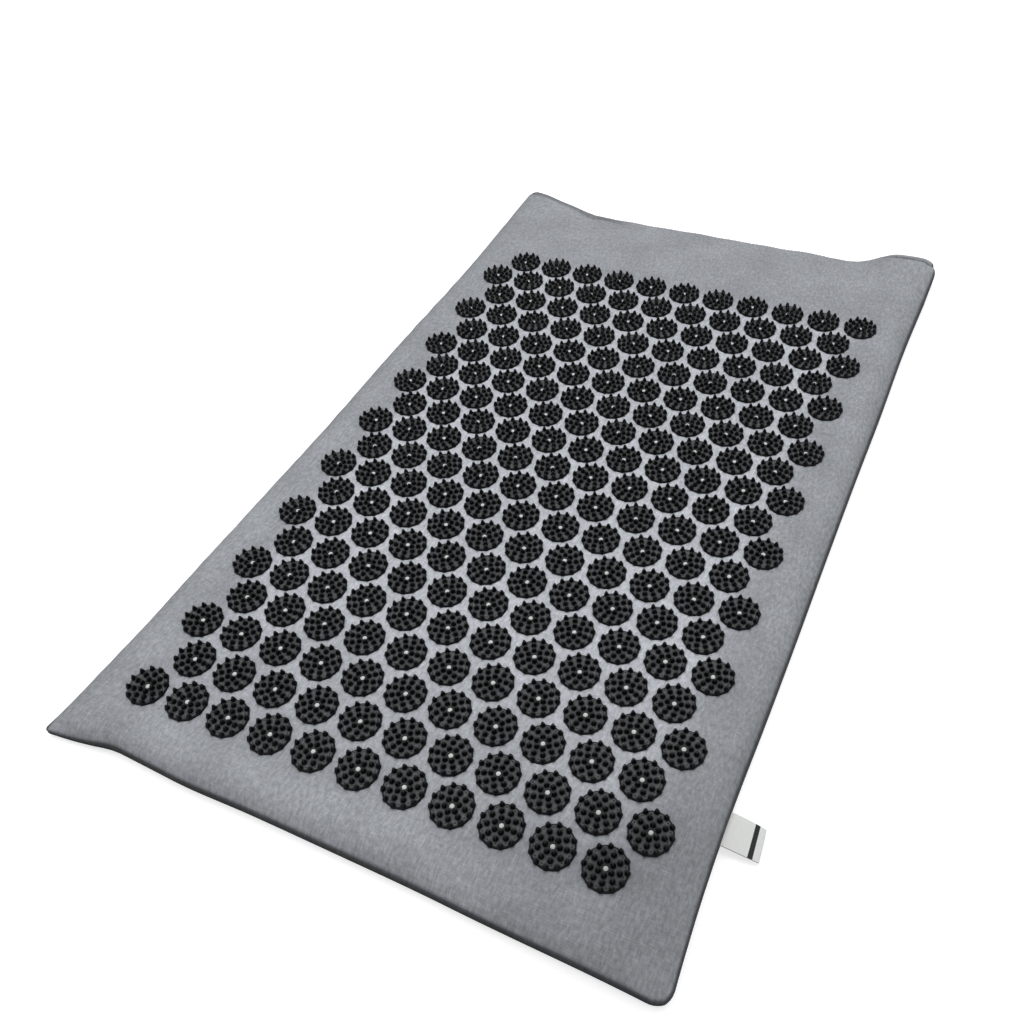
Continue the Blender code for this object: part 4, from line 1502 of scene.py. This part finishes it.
def slider_crown():
    """An arch in (x, y) over the window for the pull's bar, carried across the slider in z with rounded edges."""
    turn = np.linspace(0.0, math.pi, 13)
    rim, lift = blunt(np.cos(turn), crown_squareness), blunt(np.sin(turn), crown_squareness)
    middle_x, foot = (slider_low[0] + slider_high[0]) / 2, plate_front - 0.0004
    outer = together(middle_x + crown_half_length * rim, foot + (slider_high[1] - foot) * lift)
    inner = together(middle_x + crown_half_window * rim, foot + (plate_front + crown_window_height - foot) * lift)
    middle, edge = (outer + inner) / 2, plate_edge_radius
    wide = np.minimum(1.0, 2 * edge / np.linalg.norm(outer - inner, axis=1, keepdims=True))
    sections = []
    for inwards, share in ((0.0, 0.5), (0.3 * edge, 0.8), (edge, 1.0)):
        pinch = 1.0 - (1.0 - share) * wide
        loop = np.concatenate([middle + (outer - middle) * pinch, (middle + (inner - middle) * pinch)[::-1]])
        sections += [(z, loop) for z in (inwards - crown_half_width, crown_half_width - inwards)]
    sections.sort(key=lambda section: section[0])
    points = np.concatenate([together(loop[:, 0], loop[:, 1], seam_height + z) for z, loop in sections])
    return points, strip_faces(len(sections), 2 * len(turn))


def rounded_rectangle(low_x, high_x, half_z, radius, steps=7):
    """Corner by corner, so two rectangles with the same steps have matching points."""
    turn = np.linspace(0.0, math.pi / 2, steps)
    low_x, high_x, z = low_x + radius, high_x - radius, half_z - radius
    centres = ((high_x, z), (low_x, z), (low_x, -z), (high_x, -z))
    corners = [
        centre + radius * together(np.cos(turn + k * math.pi / 2), np.sin(turn + k * math.pi / 2))
        for k, centre in enumerate(centres)
    ]
    return np.concatenate(corners)


def pull_tab():
    """The tab: an outer and an inner outline, each with a rounded edge, joined into one closed ring of profiles."""
    low_y, high_y = pull_low[1], pull_high[1]
    half_z = (pull_high[2] - pull_low[2]) / 2
    eye_high = pull_high[0] - pull_bar

    def outer(cut):
        return rounded_rectangle(pull_low[0] + cut, pull_high[0] - cut, half_z - cut, pull_corner - cut)

    def eye(cut):
        eye_low = eye_high - pull_eye_length
        return rounded_rectangle(eye_low - cut, eye_high + cut, pull_eye_half_width + cut, pull_eye_corner + cut)

    steps = ((pull_edge, 0.0), (0.3 * pull_edge, 0.3 * pull_edge), (0.0, pull_edge))
    rings = [(outer(cut), low_y + up) for cut, up in steps] + [(outer(cut), high_y - up) for cut, up in steps[::-1]]
    rings += [(eye(cut), high_y - up) for cut, up in steps] + [(eye(cut), low_y + up) for cut, up in steps[::-1]]
    points = np.concatenate([together(ring[:, 0], y, seam_height + ring[:, 1]) for ring, y in rings])
    return points, grid_quads(len(rings), len(rings[0][0]), True, True)


def stop_block(name):
    """A pressed block: a rounded box whose section is a superellipse, with a shallow waist where it was crimped."""
    low, high = node_box(name)
    middle, half = (low + high) / 2, (high - low) / 2
    turn = np.linspace(0.0, 2 * math.pi, 33)[:-1]
    share = np.sin(np.linspace(-math.pi / 2, math.pi / 2, 15))[:, None]
    scale = (1.0 - np.abs(share) ** 5) ** 0.4 * (1.0 - crimp_depth * hump(share, 0.0, crimp_width))
    across, deep = [blunt(wave(turn), stop_squareness) * np.maximum(scale, 0.3) for wave in (np.cos, np.sin)]
    points = middle + half * together(across, deep, share)
    return points.reshape(-1, 3), strip_faces(len(share), len(turn))


zip_metal = make_metal()
channel, channel_faces = slider_channel()
crown, crown_faces = slider_crown()
slider = np.concatenate([channel, crown]), np.concatenate([channel_faces, crown_faces + len(channel)])
metal_pieces = (
    ("slider_body", slider, "slider", "zip_slider"),
    ("pull_tab", pull_tab(), "pull", "zip_pull"),
    ("stop_left", stop_block("zip_stop_left"), "mat", "zip_stop_left"),
    ("stop_right", stop_block("zip_stop_right"), "mat", "zip_stop_right"),
)
for name, shape, body, node in metal_pieces:
    fit_piece(new_piece(name, zip_metal, *shape), body, "zip_metal", node, sharp_degrees=45.0)
print("metal pieces:", len(metal_pieces))
